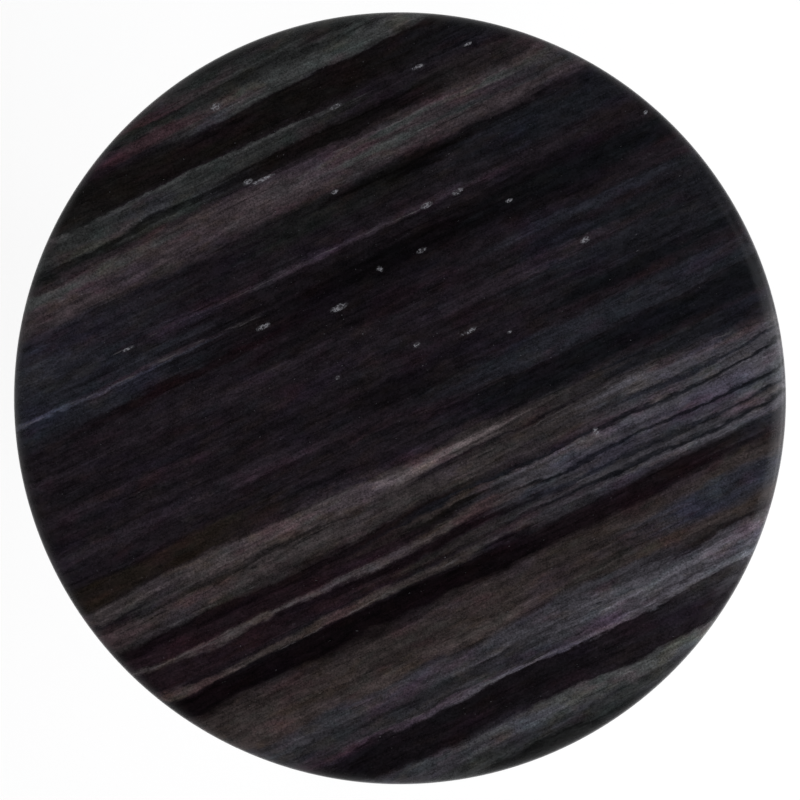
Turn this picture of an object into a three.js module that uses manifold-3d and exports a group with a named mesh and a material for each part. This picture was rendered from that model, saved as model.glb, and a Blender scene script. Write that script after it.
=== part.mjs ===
// Round pedestal table: a bullnosed stone top on a bonded board, a four-armed spider, one steel
// column, and a weighted disc base under a spun cover, standing on four levelling feet.
// Millimetres, +Z up. The floor is z = 0 and the column's axis is the Z axis.
import * as THREE from "three";
import { mergeVertices } from "three/addons/utils/BufferGeometryUtils.js";
import Module from "manifold-3d";

const wasm = await Module();
wasm.setup();

// ---------------------------------------------------------------- driving dimensions
const FIT = 0.3; // clearance round a wall that touches its neighbour
const CUT = 1; // a cutting shape runs this far past the face it cuts

const TABLE_HEIGHT = 740;
const TOP_RADIUS = 305;
const STONE_THICKNESS = 20; // the edge is a full bullnose of half this radius

const BOARD_THICKNESS = 12;
const BOARD_INSET = 62; // from the stone's edge in to the board's
const BOARD_CHAMFER = 4;
const BED_THICKNESS = 1; // adhesive between the stone and the board
const BED_INSET = 8; // from the board's edge in to the adhesive's

const COLUMN_RADIUS = 38;
const COLUMN_WALL = 1.5;

const ARM_COUNT = 4;
const ARM_REACH = 190; // from the axis to the arm's tip
const ARM_ROOT_WIDTH = 56;
const ARM_TIP_WIDTH = 34;
const ARM_ROOT_DEPTH = 20;
const ARM_TIP_DEPTH = 8;
const ARM_WEB = 5; // plate between the arm's two flanges
const ARM_FLANGE = 4;
const HUB_WALL = 7; // round the column's upper end
const HUB_DEPTH = 26;
const HUB_FLOOR = 8; // over the column's upper end
const BOSS_WALL = 6; // round the tie rod's thread

const SCREW_RADIUS = 3; // M6
const SCREW_LENGTH = 14;
const SCREW_HEAD_RADIUS = 5.3;
const SCREW_HEAD_FLAT = 2.8; // radius of the flat on top of the button head
const SCREW_HEAD_HEIGHT = 3.3;
const SCREW_SOCKET_FLATS = 4;
const SCREW_SOCKET_DEPTH = 2;
const SCREW_TIP_INSET = 18; // from the arm's tip in to its outer screw
const SCREW_PITCH = 68; // from the outer screw in to the inner one
const SCREW_END_ROOM = 1;
const INSERT_WALL = 1.4;
const INSERT_LENGTH = 10;

const ROD_RADIUS = 6; // M12
const NUT_FLATS = 18;
const NUT_HEIGHT = 10;
const SPRING_WASHER_THICKNESS = 2.5;
const SPRING_WASHER_WALL = 4.2;
const SPRING_WASHER_SLIT = 2;
const CLAMP_WASHER_RADIUS = 20;
const CLAMP_WASHER_THICKNESS = 3;
const RECESS_CLEARANCE = 3; // round the clamp washer, and under the nut

const BASE_RADIUS = 215; // the cover's outer radius
const BASE_RIM_HEIGHT = 16; // from the ballast's underside up to where the rim has turned over
const BASE_EDGE_ROUND = 7;
const BASE_SLOPE = THREE.MathUtils.degToRad(7);
const COVER_THICKNESS = 1.5;
const COVER_SKIRT = 2; // the rim reaches this far below the ballast's underside
const FLARE_RADIUS = 48; // sweep of the cover up to its neck
const NECK_GAP = 1.5; // between the column and the cover's neck
const NECK_STRAIGHT = 4;
const NECK_BEAD = 1.6;
const GROMMET_LIP = 1.2;
const GROMMET_TAIL = 5;

const SEAT_RISE = 6; // the ballast's machined seat, above the top of its slope
const SEAT_MARGIN = 14; // seat beyond the column's wall
const SPIGOT_HEIGHT = 14; // centres the column from inside
const SPIGOT_CHAMFER = 2;

const TRIM_WALL = 1.5; // edge trim clipped on the cover's rim
const TRIM_OUTER_LIP = 2.8;

const FOOT_COUNT = 4;
const FOOT_INSET = 37; // from the base's edge in to each foot
const FOOT_HOLE_ROOF = 3.4; // iron left over each foot's threaded hole
const PAD_RADIUS = 16;
const PAD_HEIGHT = 6.5;
const PAD_ROUND = 2.5;
const PAD_FLOOR = 2.2; // nylon under the spindle's head
const PAD_LIP = 1.5; // overlap that holds the spindle's head in
const SPINDLE_RADIUS = 4; // M8
const SPINDLE_HEAD_RADIUS = 9;
const SPINDLE_HEAD_HEIGHT = 2;
const SPINDLE_HEX_FLATS = 13;
const SPINDLE_HEX_HEIGHT = 4.5;
const SPINDLE_HEX_GAP = 0.7; // between the pad and the hexagon
const SPINDLE_CHAMFER = 1;

const STONE_SEGMENTS = 72;
const LARGE_SEGMENTS = 48;
const COLUMN_SEGMENTS = 36;
const NUT_SEGMENTS = 24;
const PAD_SEGMENTS = 20;
const SMALL_SEGMENTS = 16;

// ---------------------------------------------------------------- places, worked out
const STONE_UNDERSIDE = TABLE_HEIGHT - STONE_THICKNESS;
const BOARD_TOP = STONE_UNDERSIDE - BED_THICKNESS;
const SPIDER_TOP = BOARD_TOP - BOARD_THICKNESS;
const COLUMN_TOP = SPIDER_TOP - HUB_FLOOR;
const BOARD_RADIUS = TOP_RADIUS - BOARD_INSET;
const NECK_RADIUS = COLUMN_RADIUS + NECK_GAP + COVER_THICKNESS;

const HEX_BOTTOM = PAD_HEIGHT + SPINDLE_HEX_GAP;
const HEX_TOP = HEX_BOTTOM + SPINDLE_HEX_HEIGHT;
const BASE_UNDERSIDE = HEX_TOP + FIT; // the ballast's underside
const CLAMP_STACK = CLAMP_WASHER_THICKNESS + SPRING_WASHER_THICKNESS + NUT_HEIGHT;
const RECESS_TOP = BASE_UNDERSIDE + CLAMP_STACK + RECESS_CLEARANCE;

// The base's section is lines and arcs that are tangent to one another: up the rim, over the edge,
// along the slope and up the flare to the neck. An offset of it is a parallel curve.
const SLOPE_SIN = Math.sin(BASE_SLOPE);
const SLOPE_COS = Math.cos(BASE_SLOPE);
const SLOPE_ANGLE = 90 - THREE.MathUtils.radToDeg(BASE_SLOPE);
const EDGE_RADIUS = BASE_RADIUS - BASE_EDGE_ROUND;
const EDGE_HEIGHT = BASE_UNDERSIDE + BASE_RIM_HEIGHT - BASE_EDGE_ROUND;
const SLOPE_REACH = EDGE_RADIUS * SLOPE_SIN + EDGE_HEIGHT * SLOPE_COS + BASE_EDGE_ROUND;
const FLARE_CENTRE_RADIUS = NECK_RADIUS + FLARE_RADIUS;
const FLARE_CENTRE_HEIGHT =
  (SLOPE_REACH + FLARE_RADIUS - FLARE_CENTRE_RADIUS * SLOPE_SIN) / SLOPE_COS;
const BALLAST_OFFSET = COVER_THICKNESS + FIT; // the ballast runs this far inside the cover's face
const FOOT_CIRCLE = BASE_RADIUS - FOOT_INSET;

// ---------------------------------------------------------------- shaping helpers

// Points of an arc, from one angle to another in degrees, both ends included.
function arc(centreRadius, centreHeight, radius, from, to, steps) {
  return Array.from({ length: steps + 1 }, (_, i) => {
    const angle = THREE.MathUtils.degToRad(from + ((to - from) * i) / steps);
    return [centreRadius + radius * Math.cos(angle), centreHeight + radius * Math.sin(angle)];
  });
}

// Revolves an outline of [radius, height] points about Z. The outline runs anticlockwise with the
// radius to the right, and either starts and ends on the axis or is closed here.
function revolve(outline, segments) {
  const onAxis = outline[0][0] === 0;
  const closed = onAxis ? outline : [...outline, outline[0]];
  const points = closed.map(([radius, height]) => new THREE.Vector2(radius, height));
  return new THREE.LatheGeometry(points, segments).rotateX(Math.PI / 2);
}

// An upright cylinder, or a prism when it has few segments, between two heights.
function cylinder(radius, bottom, top, segments) {
  const outline = [[0, bottom], [radius, bottom], [radius, top], [0, top]];
  return revolve(outline, segments);
}

// An upright hexagonal prism, measured across its flats.
function hexagon(flats, bottom, top) {
  return cylinder(flats / Math.sqrt(3), bottom, top, 6);
}

// A ring of rectangular section.
function ring(inner, outer, bottom, top, segments) {
  return revolve([[inner, bottom], [outer, bottom], [outer, top], [inner, top]], segments);
}

// The height of the base's slope at a radius, a given distance inside the cover's face.
function slopeHeight(radius, offset) {
  return (SLOPE_REACH - offset - radius * SLOPE_SIN) / SLOPE_COS;
}

// A flat outline in X and Y as a plate between two heights.
function plate(shape, bottom, top) {
  const options = { depth: top - bottom, bevelEnabled: false, curveSegments: 6 };
  return new THREE.ExtrudeGeometry(shape, options).translate(0, 0, bottom);
}

// A closed geometry as a solid that can be joined and cut.
function solid(geometry) {
  const bare = geometry.clone();
  bare.deleteAttribute("normal");
  bare.deleteAttribute("uv");
  const merged = mergeVertices(bare, 1e-3);
  const mesh = new wasm.Mesh({
    numProp: 3,
    vertProperties: merged.attributes.position.array,
    triVerts: new Uint32Array(merged.index.array),
  });
  return new wasm.Manifold(mesh);
}

// A solid back as a geometry.
function geometryOf(made) {
  const mesh = made.getMesh();
  return new THREE.BufferGeometry()
    .setAttribute("position", new THREE.BufferAttribute(mesh.vertProperties, 3))
    .setIndex(new THREE.BufferAttribute(mesh.triVerts, 1));
}

// The copies of a geometry that stand at the given places, each { x, y, turn }.
function copies(geometry, places) {
  return places.map(({ x, y, turn = 0 }) => geometry.clone().rotateZ(turn).translate(x, y, 0));
}

// Places spread evenly round the axis.
function around(count, radius, start = 0) {
  return Array.from({ length: count }, (_, i) => {
    const turn = start + (i * 2 * Math.PI) / count;
    return { x: radius * Math.cos(turn), y: radius * Math.sin(turn), turn };
  });
}

// ---------------------------------------------------------------- finishes
const FINISH = {
  stone: { color: 0x1e1c20, roughness: 0.35, metalness: 0 },
  adhesive: { color: 0x2a2a2a, roughness: 0.6, metalness: 0 },
  board: { color: 0x191817, roughness: 0.6, metalness: 0 },
  castBlack: { color: 0x1b1b1c, roughness: 0.55, metalness: 0.3 },
  powderBlack: { color: 0x161617, roughness: 0.45, metalness: 0.2 },
  zinc: { color: 0xb9bcc0, roughness: 0.35, metalness: 1 },
  brass: { color: 0xb08d4a, roughness: 0.4, metalness: 1 },
  rubber: { color: 0x121212, roughness: 0.7, metalness: 0 },
  nylon: { color: 0x2b2c2e, roughness: 0.5, metalness: 0 },
};

const table = new THREE.Group();

// Adds one named piece to the table, or to a group of it.
function add(name, geometry, finish, parent = table) {
  const mesh = new THREE.Mesh(geometry, new THREE.MeshStandardMaterial(FINISH[finish]));
  mesh.name = name;
  parent.add(mesh);
  return mesh;
}

// ---------------------------------------------------------------- stone top
// A round slab with a full bullnose, bedded in adhesive on the board.
const nose = STONE_THICKNESS / 2;
add(
  "marble_top",
  revolve(
    [
      [0, STONE_UNDERSIDE],
      ...arc(TOP_RADIUS - nose, STONE_UNDERSIDE + nose, nose, -90, 90, 10),
      [0, TABLE_HEIGHT],
    ],
    STONE_SEGMENTS,
  ),
  "stone",
);

add(
  "adhesive_bed",
  cylinder(BOARD_RADIUS - BED_INSET, BOARD_TOP, STONE_UNDERSIDE, LARGE_SEGMENTS),
  "adhesive",
);

// ---------------------------------------------------------------- backing board and its inserts
// The board takes the screws that stone can't. Each screw has a pocket with a threaded insert.
const insertRadius = SCREW_RADIUS + FIT + INSERT_WALL;
const outerScrew = ARM_REACH - SCREW_TIP_INSET;
const screwPlaces = [outerScrew - SCREW_PITCH, outerScrew].flatMap((radius) =>
  around(ARM_COUNT, radius),
);
const screwEnd = SPIDER_TOP - ARM_WEB + SCREW_LENGTH;

function backingBoard() {
  const blank = revolve(
    [
      [0, SPIDER_TOP],
      [BOARD_RADIUS - BOARD_CHAMFER, SPIDER_TOP],
      [BOARD_RADIUS, SPIDER_TOP + BOARD_CHAMFER],
      [BOARD_RADIUS, BOARD_TOP],
      [0, BOARD_TOP],
    ],
    LARGE_SEGMENTS,
  );
  const pocketTop = Math.max(SPIDER_TOP + INSERT_LENGTH + FIT, screwEnd + SCREW_END_ROOM);
  const pocket = cylinder(insertRadius + FIT, SPIDER_TOP - CUT, pocketTop, SMALL_SEGMENTS);
  return copies(pocket, screwPlaces).reduce(
    (board, hole) => board.subtract(solid(hole)),
    solid(blank),
  );
}
add("backing_board", geometryOf(backingBoard()), "board");

const insert = ring(
  SCREW_RADIUS + FIT,
  insertRadius,
  SPIDER_TOP,
  SPIDER_TOP + INSERT_LENGTH,
  SMALL_SEGMENTS,
);
copies(insert, screwPlaces).forEach((geometry, i) =>
  add(`board_insert_${i + 1}`, geometry, "brass"),
);

// ---------------------------------------------------------------- spider
// One arm along +X: a channel whose flanges get shallower towards a rounded tip.
function spiderArm() {
  const tipRadius = ARM_TIP_WIDTH / 2;
  const outline = (inset) => {
    const shape = new THREE.Shape();
    const tip = ARM_REACH - tipRadius;
    shape.moveTo(0, inset - ARM_ROOT_WIDTH / 2);
    shape.lineTo(tip, inset - tipRadius);
    shape.absarc(tip, 0, tipRadius - inset, -Math.PI / 2, Math.PI / 2);
    shape.lineTo(0, ARM_ROOT_WIDTH / 2 - inset);
    return shape;
  };
  const block = plate(outline(0), SPIDER_TOP - ARM_ROOT_DEPTH, SPIDER_TOP);
  const webUnderside = SPIDER_TOP - ARM_WEB;
  const channel = plate(outline(ARM_FLANGE), SPIDER_TOP - ARM_ROOT_DEPTH - CUT, webUnderside);
  const belowTaper = new THREE.Shape([
    new THREE.Vector2(COLUMN_RADIUS, SPIDER_TOP - ARM_ROOT_DEPTH),
    new THREE.Vector2(COLUMN_RADIUS, SPIDER_TOP - 2 * ARM_ROOT_DEPTH),
    new THREE.Vector2(ARM_REACH + CUT, SPIDER_TOP - 2 * ARM_ROOT_DEPTH),
    new THREE.Vector2(ARM_REACH + CUT, SPIDER_TOP - ARM_TIP_DEPTH),
  ]);
  const taper = plate(belowTaper, -ARM_ROOT_WIDTH, ARM_ROOT_WIDTH).rotateX(Math.PI / 2);
  return solid(block).subtract(solid(channel)).subtract(solid(taper));
}

// The arms meet in a hub with a cup for the column's upper end. A boss in the middle of the cup
// takes the tie rod.
function spider() {
  const cupRadius = COLUMN_RADIUS + FIT;
  const hubRadius = cupRadius + HUB_WALL;
  const hubBottom = SPIDER_TOP - HUB_DEPTH;
  const rodHoleRadius = ROD_RADIUS + FIT;
  const bossRadius = rodHoleRadius + BOSS_WALL;
  let made = solid(cylinder(hubRadius, hubBottom, SPIDER_TOP, COLUMN_SEGMENTS));
  const arm = geometryOf(spiderArm());
  for (const copy of copies(arm, around(ARM_COUNT, 0))) made = made.add(solid(copy));
  const cup = ring(bossRadius, cupRadius, hubBottom - CUT, COLUMN_TOP, COLUMN_SEGMENTS);
  const rodHole = cylinder(rodHoleRadius, hubBottom - CUT, SPIDER_TOP + CUT, SMALL_SEGMENTS);
  made = made.subtract(solid(cup)).subtract(solid(rodHole));
  const screwHole = cylinder(
    SCREW_RADIUS + FIT,
    SPIDER_TOP - ARM_ROOT_DEPTH,
    SPIDER_TOP + CUT,
    SMALL_SEGMENTS,
  );
  for (const hole of copies(screwHole, screwPlaces)) made = made.subtract(solid(hole));
  return made;
}
add("top_spider", geometryOf(spider()), "castBlack");

// Button-head socket screw, head down, up through the spider's web into an insert.
function spiderScrew() {
  const headTop = SPIDER_TOP - ARM_WEB;
  const headBottom = headTop - SCREW_HEAD_HEIGHT;
  const crown = SCREW_HEAD_RADIUS - SCREW_HEAD_FLAT;
  const dome = arc(0, 0, 1, -90, 0, 3).map(([x, y]) => [
    SCREW_HEAD_FLAT + crown * x,
    headTop + SCREW_HEAD_HEIGHT * y,
  ]);
  const blank = revolve(
    [
      [0, headBottom],
      ...dome,
      [SCREW_RADIUS, headTop],
      [SCREW_RADIUS, screwEnd],
      [0, screwEnd],
    ],
    SMALL_SEGMENTS,
  );
  const socket = hexagon(SCREW_SOCKET_FLATS, headBottom - CUT, headBottom + SCREW_SOCKET_DEPTH);
  return solid(blank).subtract(solid(socket));
}
copies(geometryOf(spiderScrew()), screwPlaces).forEach((geometry, i) =>
  add(`spider_screw_${i + 1}`, geometry, "zinc"),
);

// ---------------------------------------------------------------- column and tie rod
// The tube stands on the ballast's seat and ends in the spider's cup. The rod runs through all
// three, and the nut on its lower end pulls them together.
const seatHeight = slopeHeight(FLARE_CENTRE_RADIUS, BALLAST_OFFSET) + SEAT_RISE;
add(
  "column_tube",
  ring(COLUMN_RADIUS - COLUMN_WALL, COLUMN_RADIUS, seatHeight, COLUMN_TOP, COLUMN_SEGMENTS),
  "powderBlack",
);

const rodBottom = BASE_UNDERSIDE + RECESS_CLEARANCE / 2;
const rodTop = SPIDER_TOP - HUB_FLOOR / 2;
add("tie_rod", cylinder(ROD_RADIUS, rodBottom, rodTop, SMALL_SEGMENTS), "zinc");

const clampBottom = RECESS_TOP - CLAMP_WASHER_THICKNESS;
add(
  "clamp_washer",
  ring(ROD_RADIUS + FIT, CLAMP_WASHER_RADIUS, clampBottom, RECESS_TOP, COLUMN_SEGMENTS),
  "zinc",
);

// A split ring, with its slit cut aslant.
function springWasher() {
  const bottom = clampBottom - SPRING_WASHER_THICKNESS;
  const inner = ROD_RADIUS + FIT;
  const blank = ring(inner, inner + SPRING_WASHER_WALL, bottom, clampBottom, NUT_SEGMENTS);
  const slit = new THREE.BoxGeometry(
    3 * SPRING_WASHER_WALL,
    SPRING_WASHER_SLIT,
    3 * SPRING_WASHER_THICKNESS,
  );
  slit.rotateX(Math.PI / 6).translate(inner + SPRING_WASHER_WALL, 0, clampBottom);
  return solid(blank).subtract(solid(slit));
}
add("spring_washer", geometryOf(springWasher()), "zinc");

// A hexagon nut with its corners turned off at both faces.
function tieRodNut() {
  const top = clampBottom - SPRING_WASHER_THICKNESS;
  const bottom = top - NUT_HEIGHT;
  const cornerRadius = NUT_FLATS / Math.sqrt(3);
  const chamfer = cornerRadius - NUT_FLATS / 2;
  const turned = revolve(
    [
      [0, bottom],
      [NUT_FLATS / 2, bottom],
      [cornerRadius + FIT, bottom + chamfer],
      [cornerRadius + FIT, top - chamfer],
      [NUT_FLATS / 2, top],
      [0, top],
    ],
    NUT_SEGMENTS,
  );
  const bore = cylinder(ROD_RADIUS + FIT, bottom - CUT, top + CUT, SMALL_SEGMENTS);
  return solid(hexagon(NUT_FLATS, bottom, top)).intersect(solid(turned)).subtract(solid(bore));
}
add("tie_rod_nut", geometryOf(tieRodNut()), "zinc");

// ---------------------------------------------------------------- base
// The edge and the flare of the base's section, an offset inside the cover's outer face.
function coverEdge(offset) {
  return arc(EDGE_RADIUS, EDGE_HEIGHT, BASE_EDGE_ROUND - offset, 0, SLOPE_ANGLE, 3);
}

function coverFlare(offset) {
  const sweep = FLARE_RADIUS + offset;
  return arc(FLARE_CENTRE_RADIUS, FLARE_CENTRE_HEIGHT, sweep, SLOPE_ANGLE + 180, 180, 7);
}

const skirtBottom = BASE_UNDERSIDE - COVER_SKIRT;
const neckTop = FLARE_CENTRE_HEIGHT + NECK_STRAIGHT + 2 * NECK_BEAD;

// Spun shell, from its rim over the ballast up to a beaded neck round the column.
function baseCover() {
  return revolve(
    [
      [BASE_RADIUS, skirtBottom],
      ...coverEdge(0),
      ...coverFlare(0),
      ...arc(NECK_RADIUS, neckTop - NECK_BEAD, NECK_BEAD, -90, 90, 4),
      [NECK_RADIUS - COVER_THICKNESS, neckTop],
      ...coverFlare(COVER_THICKNESS).reverse(),
      ...coverEdge(COVER_THICKNESS).reverse(),
      [BASE_RADIUS - COVER_THICKNESS, skirtBottom],
    ],
    LARGE_SEGMENTS,
  );
}
add("base_cover", baseCover(), "powderBlack");

// Grommet of L section that centres the cover's neck on the column and closes the gap.
function neckGrommet() {
  const inner = COLUMN_RADIUS + FIT;
  const outer = COLUMN_RADIUS + NECK_GAP - FIT;
  return revolve(
    [
      [inner, neckTop - GROMMET_TAIL],
      [outer, neckTop - GROMMET_TAIL],
      [outer, neckTop],
      [NECK_RADIUS, neckTop],
      [NECK_RADIUS - GROMMET_LIP, neckTop + GROMMET_LIP],
      [inner, neckTop + GROMMET_LIP],
    ],
    COLUMN_SEGMENTS,
  );
}
add("neck_grommet", neckGrommet(), "rubber");

// Cast ballast: its top runs parallel under the cover, then steps up to the column's seat, and a
// spigot centres the column from inside. The tie rod's nut and washers sit in its underside.
const footPlaces = around(FOOT_COUNT, FOOT_CIRCLE, Math.PI / FOOT_COUNT);
const footHoleRadius = SPINDLE_RADIUS + FIT;
const footHoleTop = slopeHeight(FOOT_CIRCLE + footHoleRadius, BALLAST_OFFSET) - FOOT_HOLE_ROOF;

function ballast() {
  const slopeEnd = coverFlare(BALLAST_OFFSET)[0];
  const seatRadius = COLUMN_RADIUS + SEAT_MARGIN;
  const spigotRadius = COLUMN_RADIUS - COLUMN_WALL - FIT;
  const spigotTop = seatHeight + SPIGOT_HEIGHT;
  const rodHoleRadius = ROD_RADIUS + 2 * FIT;
  const recessRadius = CLAMP_WASHER_RADIUS + RECESS_CLEARANCE;
  const blank = revolve(
    [
      [rodHoleRadius, RECESS_TOP],
      [recessRadius, RECESS_TOP],
      [recessRadius, BASE_UNDERSIDE],
      [BASE_RADIUS - BALLAST_OFFSET, BASE_UNDERSIDE],
      ...coverEdge(BALLAST_OFFSET),
      slopeEnd,
      [seatRadius, slopeEnd[1]],
      [seatRadius, seatHeight],
      [spigotRadius, seatHeight],
      [spigotRadius, spigotTop - SPIGOT_CHAMFER],
      [spigotRadius - SPIGOT_CHAMFER, spigotTop],
      [rodHoleRadius, spigotTop],
    ],
    LARGE_SEGMENTS,
  );
  const hole = cylinder(footHoleRadius, BASE_UNDERSIDE - CUT, footHoleTop, SMALL_SEGMENTS);
  return copies(hole, footPlaces).reduce(
    (made, footHole) => made.subtract(solid(footHole)),
    solid(blank),
  );
}
add("base_ballast", geometryOf(ballast()), "castBlack");

// Edge trim: a channel clipped up over the cover's rim.
function edgeTrim() {
  const grooveInner = BASE_RADIUS - COVER_THICKNESS - FIT;
  const grooveOuter = BASE_RADIUS + FIT;
  const inner = grooveInner - TRIM_WALL;
  const outer = grooveOuter + TRIM_WALL;
  const bevel = TRIM_WALL / 2;
  const grooveBottom = skirtBottom - FIT;
  const bottom = grooveBottom - TRIM_WALL;
  const innerTop = BASE_UNDERSIDE - FIT;
  const outerTop = grooveBottom + TRIM_OUTER_LIP;
  return revolve(
    [
      [inner, bottom],
      [outer - bevel, bottom],
      [outer, bottom + bevel],
      [outer, outerTop - bevel],
      [outer - bevel, outerTop],
      [grooveOuter, outerTop],
      [grooveOuter, grooveBottom],
      [grooveInner, grooveBottom],
      [grooveInner, innerTop],
      [inner, innerTop],
    ],
    LARGE_SEGMENTS,
  );
}
add("edge_trim", edgeTrim(), "rubber");

// ---------------------------------------------------------------- levelling feet
// Nylon pad, open at the top so that the spindle's head snaps in under its lip and turns there.
function footPad() {
  const pocketRadius = SPINDLE_HEAD_RADIUS + FIT;
  const pocketTop = PAD_FLOOR + SPINDLE_HEAD_HEIGHT + 2 * FIT;
  const mouthRadius = SPINDLE_HEAD_RADIUS - PAD_LIP;
  return revolve(
    [
      [0, 0],
      ...arc(PAD_RADIUS - PAD_ROUND, PAD_ROUND, PAD_ROUND, -90, 0, 2),
      [PAD_RADIUS, PAD_HEIGHT - PAD_ROUND],
      [PAD_RADIUS - PAD_ROUND, PAD_HEIGHT],
      [mouthRadius, PAD_HEIGHT],
      [mouthRadius, pocketTop],
      [pocketRadius, pocketTop],
      [pocketRadius, PAD_FLOOR],
      [0, PAD_FLOOR],
    ],
    PAD_SEGMENTS,
  );
}

// Steel spindle: a round head in the pad, a hexagon for the spanner and a threaded shank.
function footSpindle() {
  const headBottom = PAD_FLOOR + FIT;
  const headTop = headBottom + SPINDLE_HEAD_HEIGHT;
  const shankTop = footHoleTop - 2 * FIT;
  const turned = revolve(
    [
      [0, headBottom],
      [SPINDLE_HEAD_RADIUS, headBottom],
      [SPINDLE_HEAD_RADIUS, headTop],
      [SPINDLE_RADIUS, headTop],
      [SPINDLE_RADIUS, shankTop - SPINDLE_CHAMFER],
      [SPINDLE_RADIUS - SPINDLE_CHAMFER, shankTop],
      [0, shankTop],
    ],
    SMALL_SEGMENTS,
  );
  return solid(turned).add(solid(hexagon(SPINDLE_HEX_FLATS, HEX_BOTTOM, HEX_TOP)));
}

const pad = footPad();
const spindle = geometryOf(footSpindle());
footPlaces.forEach(({ x, y }, i) => {
  const foot = new THREE.Group();
  foot.position.set(x, y, 0);
  table.add(foot);
  add(`foot_pad_${i + 1}`, pad, "nylon", foot);
  add(`foot_spindle_${i + 1}`, spindle, "zinc", foot);
});

export default table;
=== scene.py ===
import bmesh
import bpy
import math
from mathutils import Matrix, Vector


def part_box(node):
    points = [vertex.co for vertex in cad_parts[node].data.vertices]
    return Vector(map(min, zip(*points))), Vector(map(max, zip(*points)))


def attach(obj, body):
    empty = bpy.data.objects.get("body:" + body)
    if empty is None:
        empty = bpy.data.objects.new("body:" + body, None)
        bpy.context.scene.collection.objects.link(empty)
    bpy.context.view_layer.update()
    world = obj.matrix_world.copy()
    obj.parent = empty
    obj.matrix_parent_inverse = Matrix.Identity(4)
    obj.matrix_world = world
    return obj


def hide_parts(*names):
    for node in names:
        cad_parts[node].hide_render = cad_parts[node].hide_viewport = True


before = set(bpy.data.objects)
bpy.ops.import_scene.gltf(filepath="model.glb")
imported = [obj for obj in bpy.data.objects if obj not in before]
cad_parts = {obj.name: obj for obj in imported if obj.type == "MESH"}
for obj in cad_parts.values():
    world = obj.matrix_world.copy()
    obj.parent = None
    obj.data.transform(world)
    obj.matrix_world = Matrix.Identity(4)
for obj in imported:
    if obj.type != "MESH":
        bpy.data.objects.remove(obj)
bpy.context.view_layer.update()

# ---------------------------------------------------------------- ballast
# The weight that keeps the table upright: grey iron cast in one piece and painted with black
# primer. Its top is faced for the column's seat and spigot, its underside is drilled for the
# feet and recessed for the tie rod's nut.
MM = 0.001


def box_of(node):
    """The low and high corners of a CAD node's box, in millimetres."""
    low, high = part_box(node)
    return low / MM, high / MM


def stands_at(node):
    """The middle of a CAD node's box, seen from above, and its top, in millimetres."""
    low, high = box_of(node)
    return (low.x + high.x) / 2, (low.y + high.y) / 2, high.z


def arc(centre, radius, start, end, steps):
    """Points (radius, height) along an arc, with its angles in degrees."""
    angles = [math.radians(start + (end - start) * i / steps) for i in range(steps + 1)]
    return [(centre[0] + radius * math.cos(a), centre[1] + radius * math.sin(a)) for a in angles]


def turned(outline, sides):
    """A mesh turned about the upright axis from (radius, height) points in millimetres, which
    run anticlockwise. The outline is a list, or a rule that gives the list for each angle."""
    mesh, verts, faces, rings = bpy.data.meshes.new("turned"), [], [], []
    rule = outline if callable(outline) else lambda angle: outline
    angles = [2 * math.pi * k / sides for k in range(sides)]
    sections = [rule(angle) for angle in angles]
    for i, (radius, height) in enumerate(sections[0]):
        if radius < 1e-6:
            rings.append([len(verts)] * sides)
            verts.append((0, 0, height * MM))
            continue
        rings.append([len(verts) + k for k in range(sides)])
        for angle, section in zip(angles, sections):
            radius, height = section[i]
            verts.append(
                (radius * MM * math.cos(angle), radius * MM * math.sin(angle), height * MM)
            )
    closed = rings[0][0] != rings[0][-1]
    for low, high in zip(rings, rings[1:] + (rings[:1] if closed else [])):
        for k in range(sides):
            n = (k + 1) % sides
            corners = [low[k], low[n], high[n], high[k]]
            faces.append([c for j, c in enumerate(corners) if c not in corners[:j]])
    mesh.from_pydata(verts, [], faces)
    return mesh


def sleeve(inner, outer, bottom, top, sides):
    """A ring of square section, or a plain bar where it has no bore."""
    return turned([(inner, bottom), (outer, bottom), (outer, top), (inner, top)], sides)


def eased(mesh, width, steps=2, over=30):
    """The mesh with its edges rounded over by a width, where they turn by more than so many
    degrees."""
    work = bmesh.new()
    work.from_mesh(mesh)
    edges = [
        e
        for e in work.edges
        if len(e.link_faces) == 2 and e.calc_face_angle() > math.radians(over)
    ]
    bmesh.ops.bevel(
        work, geom=edges, offset=width * MM, segments=steps, profile=0.5, affect="EDGES",
        clamp_overlap=True,
    )
    work.to_mesh(mesh)
    work.free()
    return mesh


def plain(obj):
    """The plain mesh that an object's modifiers come to. The object itself is removed."""
    graph = bpy.context.evaluated_depsgraph_get()
    graph.update()
    mesh = bpy.data.meshes.new_from_object(obj.evaluated_get(graph), depsgraph=graph)
    bpy.data.objects.remove(obj)
    return mesh


def loose(mesh):
    """A working object for a mesh, before it is a finished piece."""
    obj = bpy.data.objects.new("work", mesh)
    bpy.context.scene.collection.objects.link(obj)
    return obj


def joined(*meshes):
    """Several meshes as one."""
    work = bmesh.new()
    for mesh in meshes:
        work.from_mesh(mesh)
    mesh = bpy.data.meshes.new("joined")
    work.to_mesh(mesh)
    work.free()
    return mesh


def moved(mesh, x, y, z=0.0):
    """The mesh moved by so many millimetres."""
    for vertex in mesh.vertices:
        vertex.co += Vector((x, y, z)) * MM
    return mesh


def drilled(mesh, holes, radius, bottom, top):
    """The mesh with a blind hole bored at each (x, y) place."""
    bits = [moved(sleeve(0, radius, bottom, top, sides=32), x, y) for x, y in holes]
    blank, drill = loose(mesh), loose(joined(*bits))
    cut = blank.modifiers.new("drill", "BOOLEAN")
    cut.operation, cut.solver, cut.object = "DIFFERENCE", "EXACT", drill
    made = plain(blank)
    bpy.data.objects.remove(drill)
    return made


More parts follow.
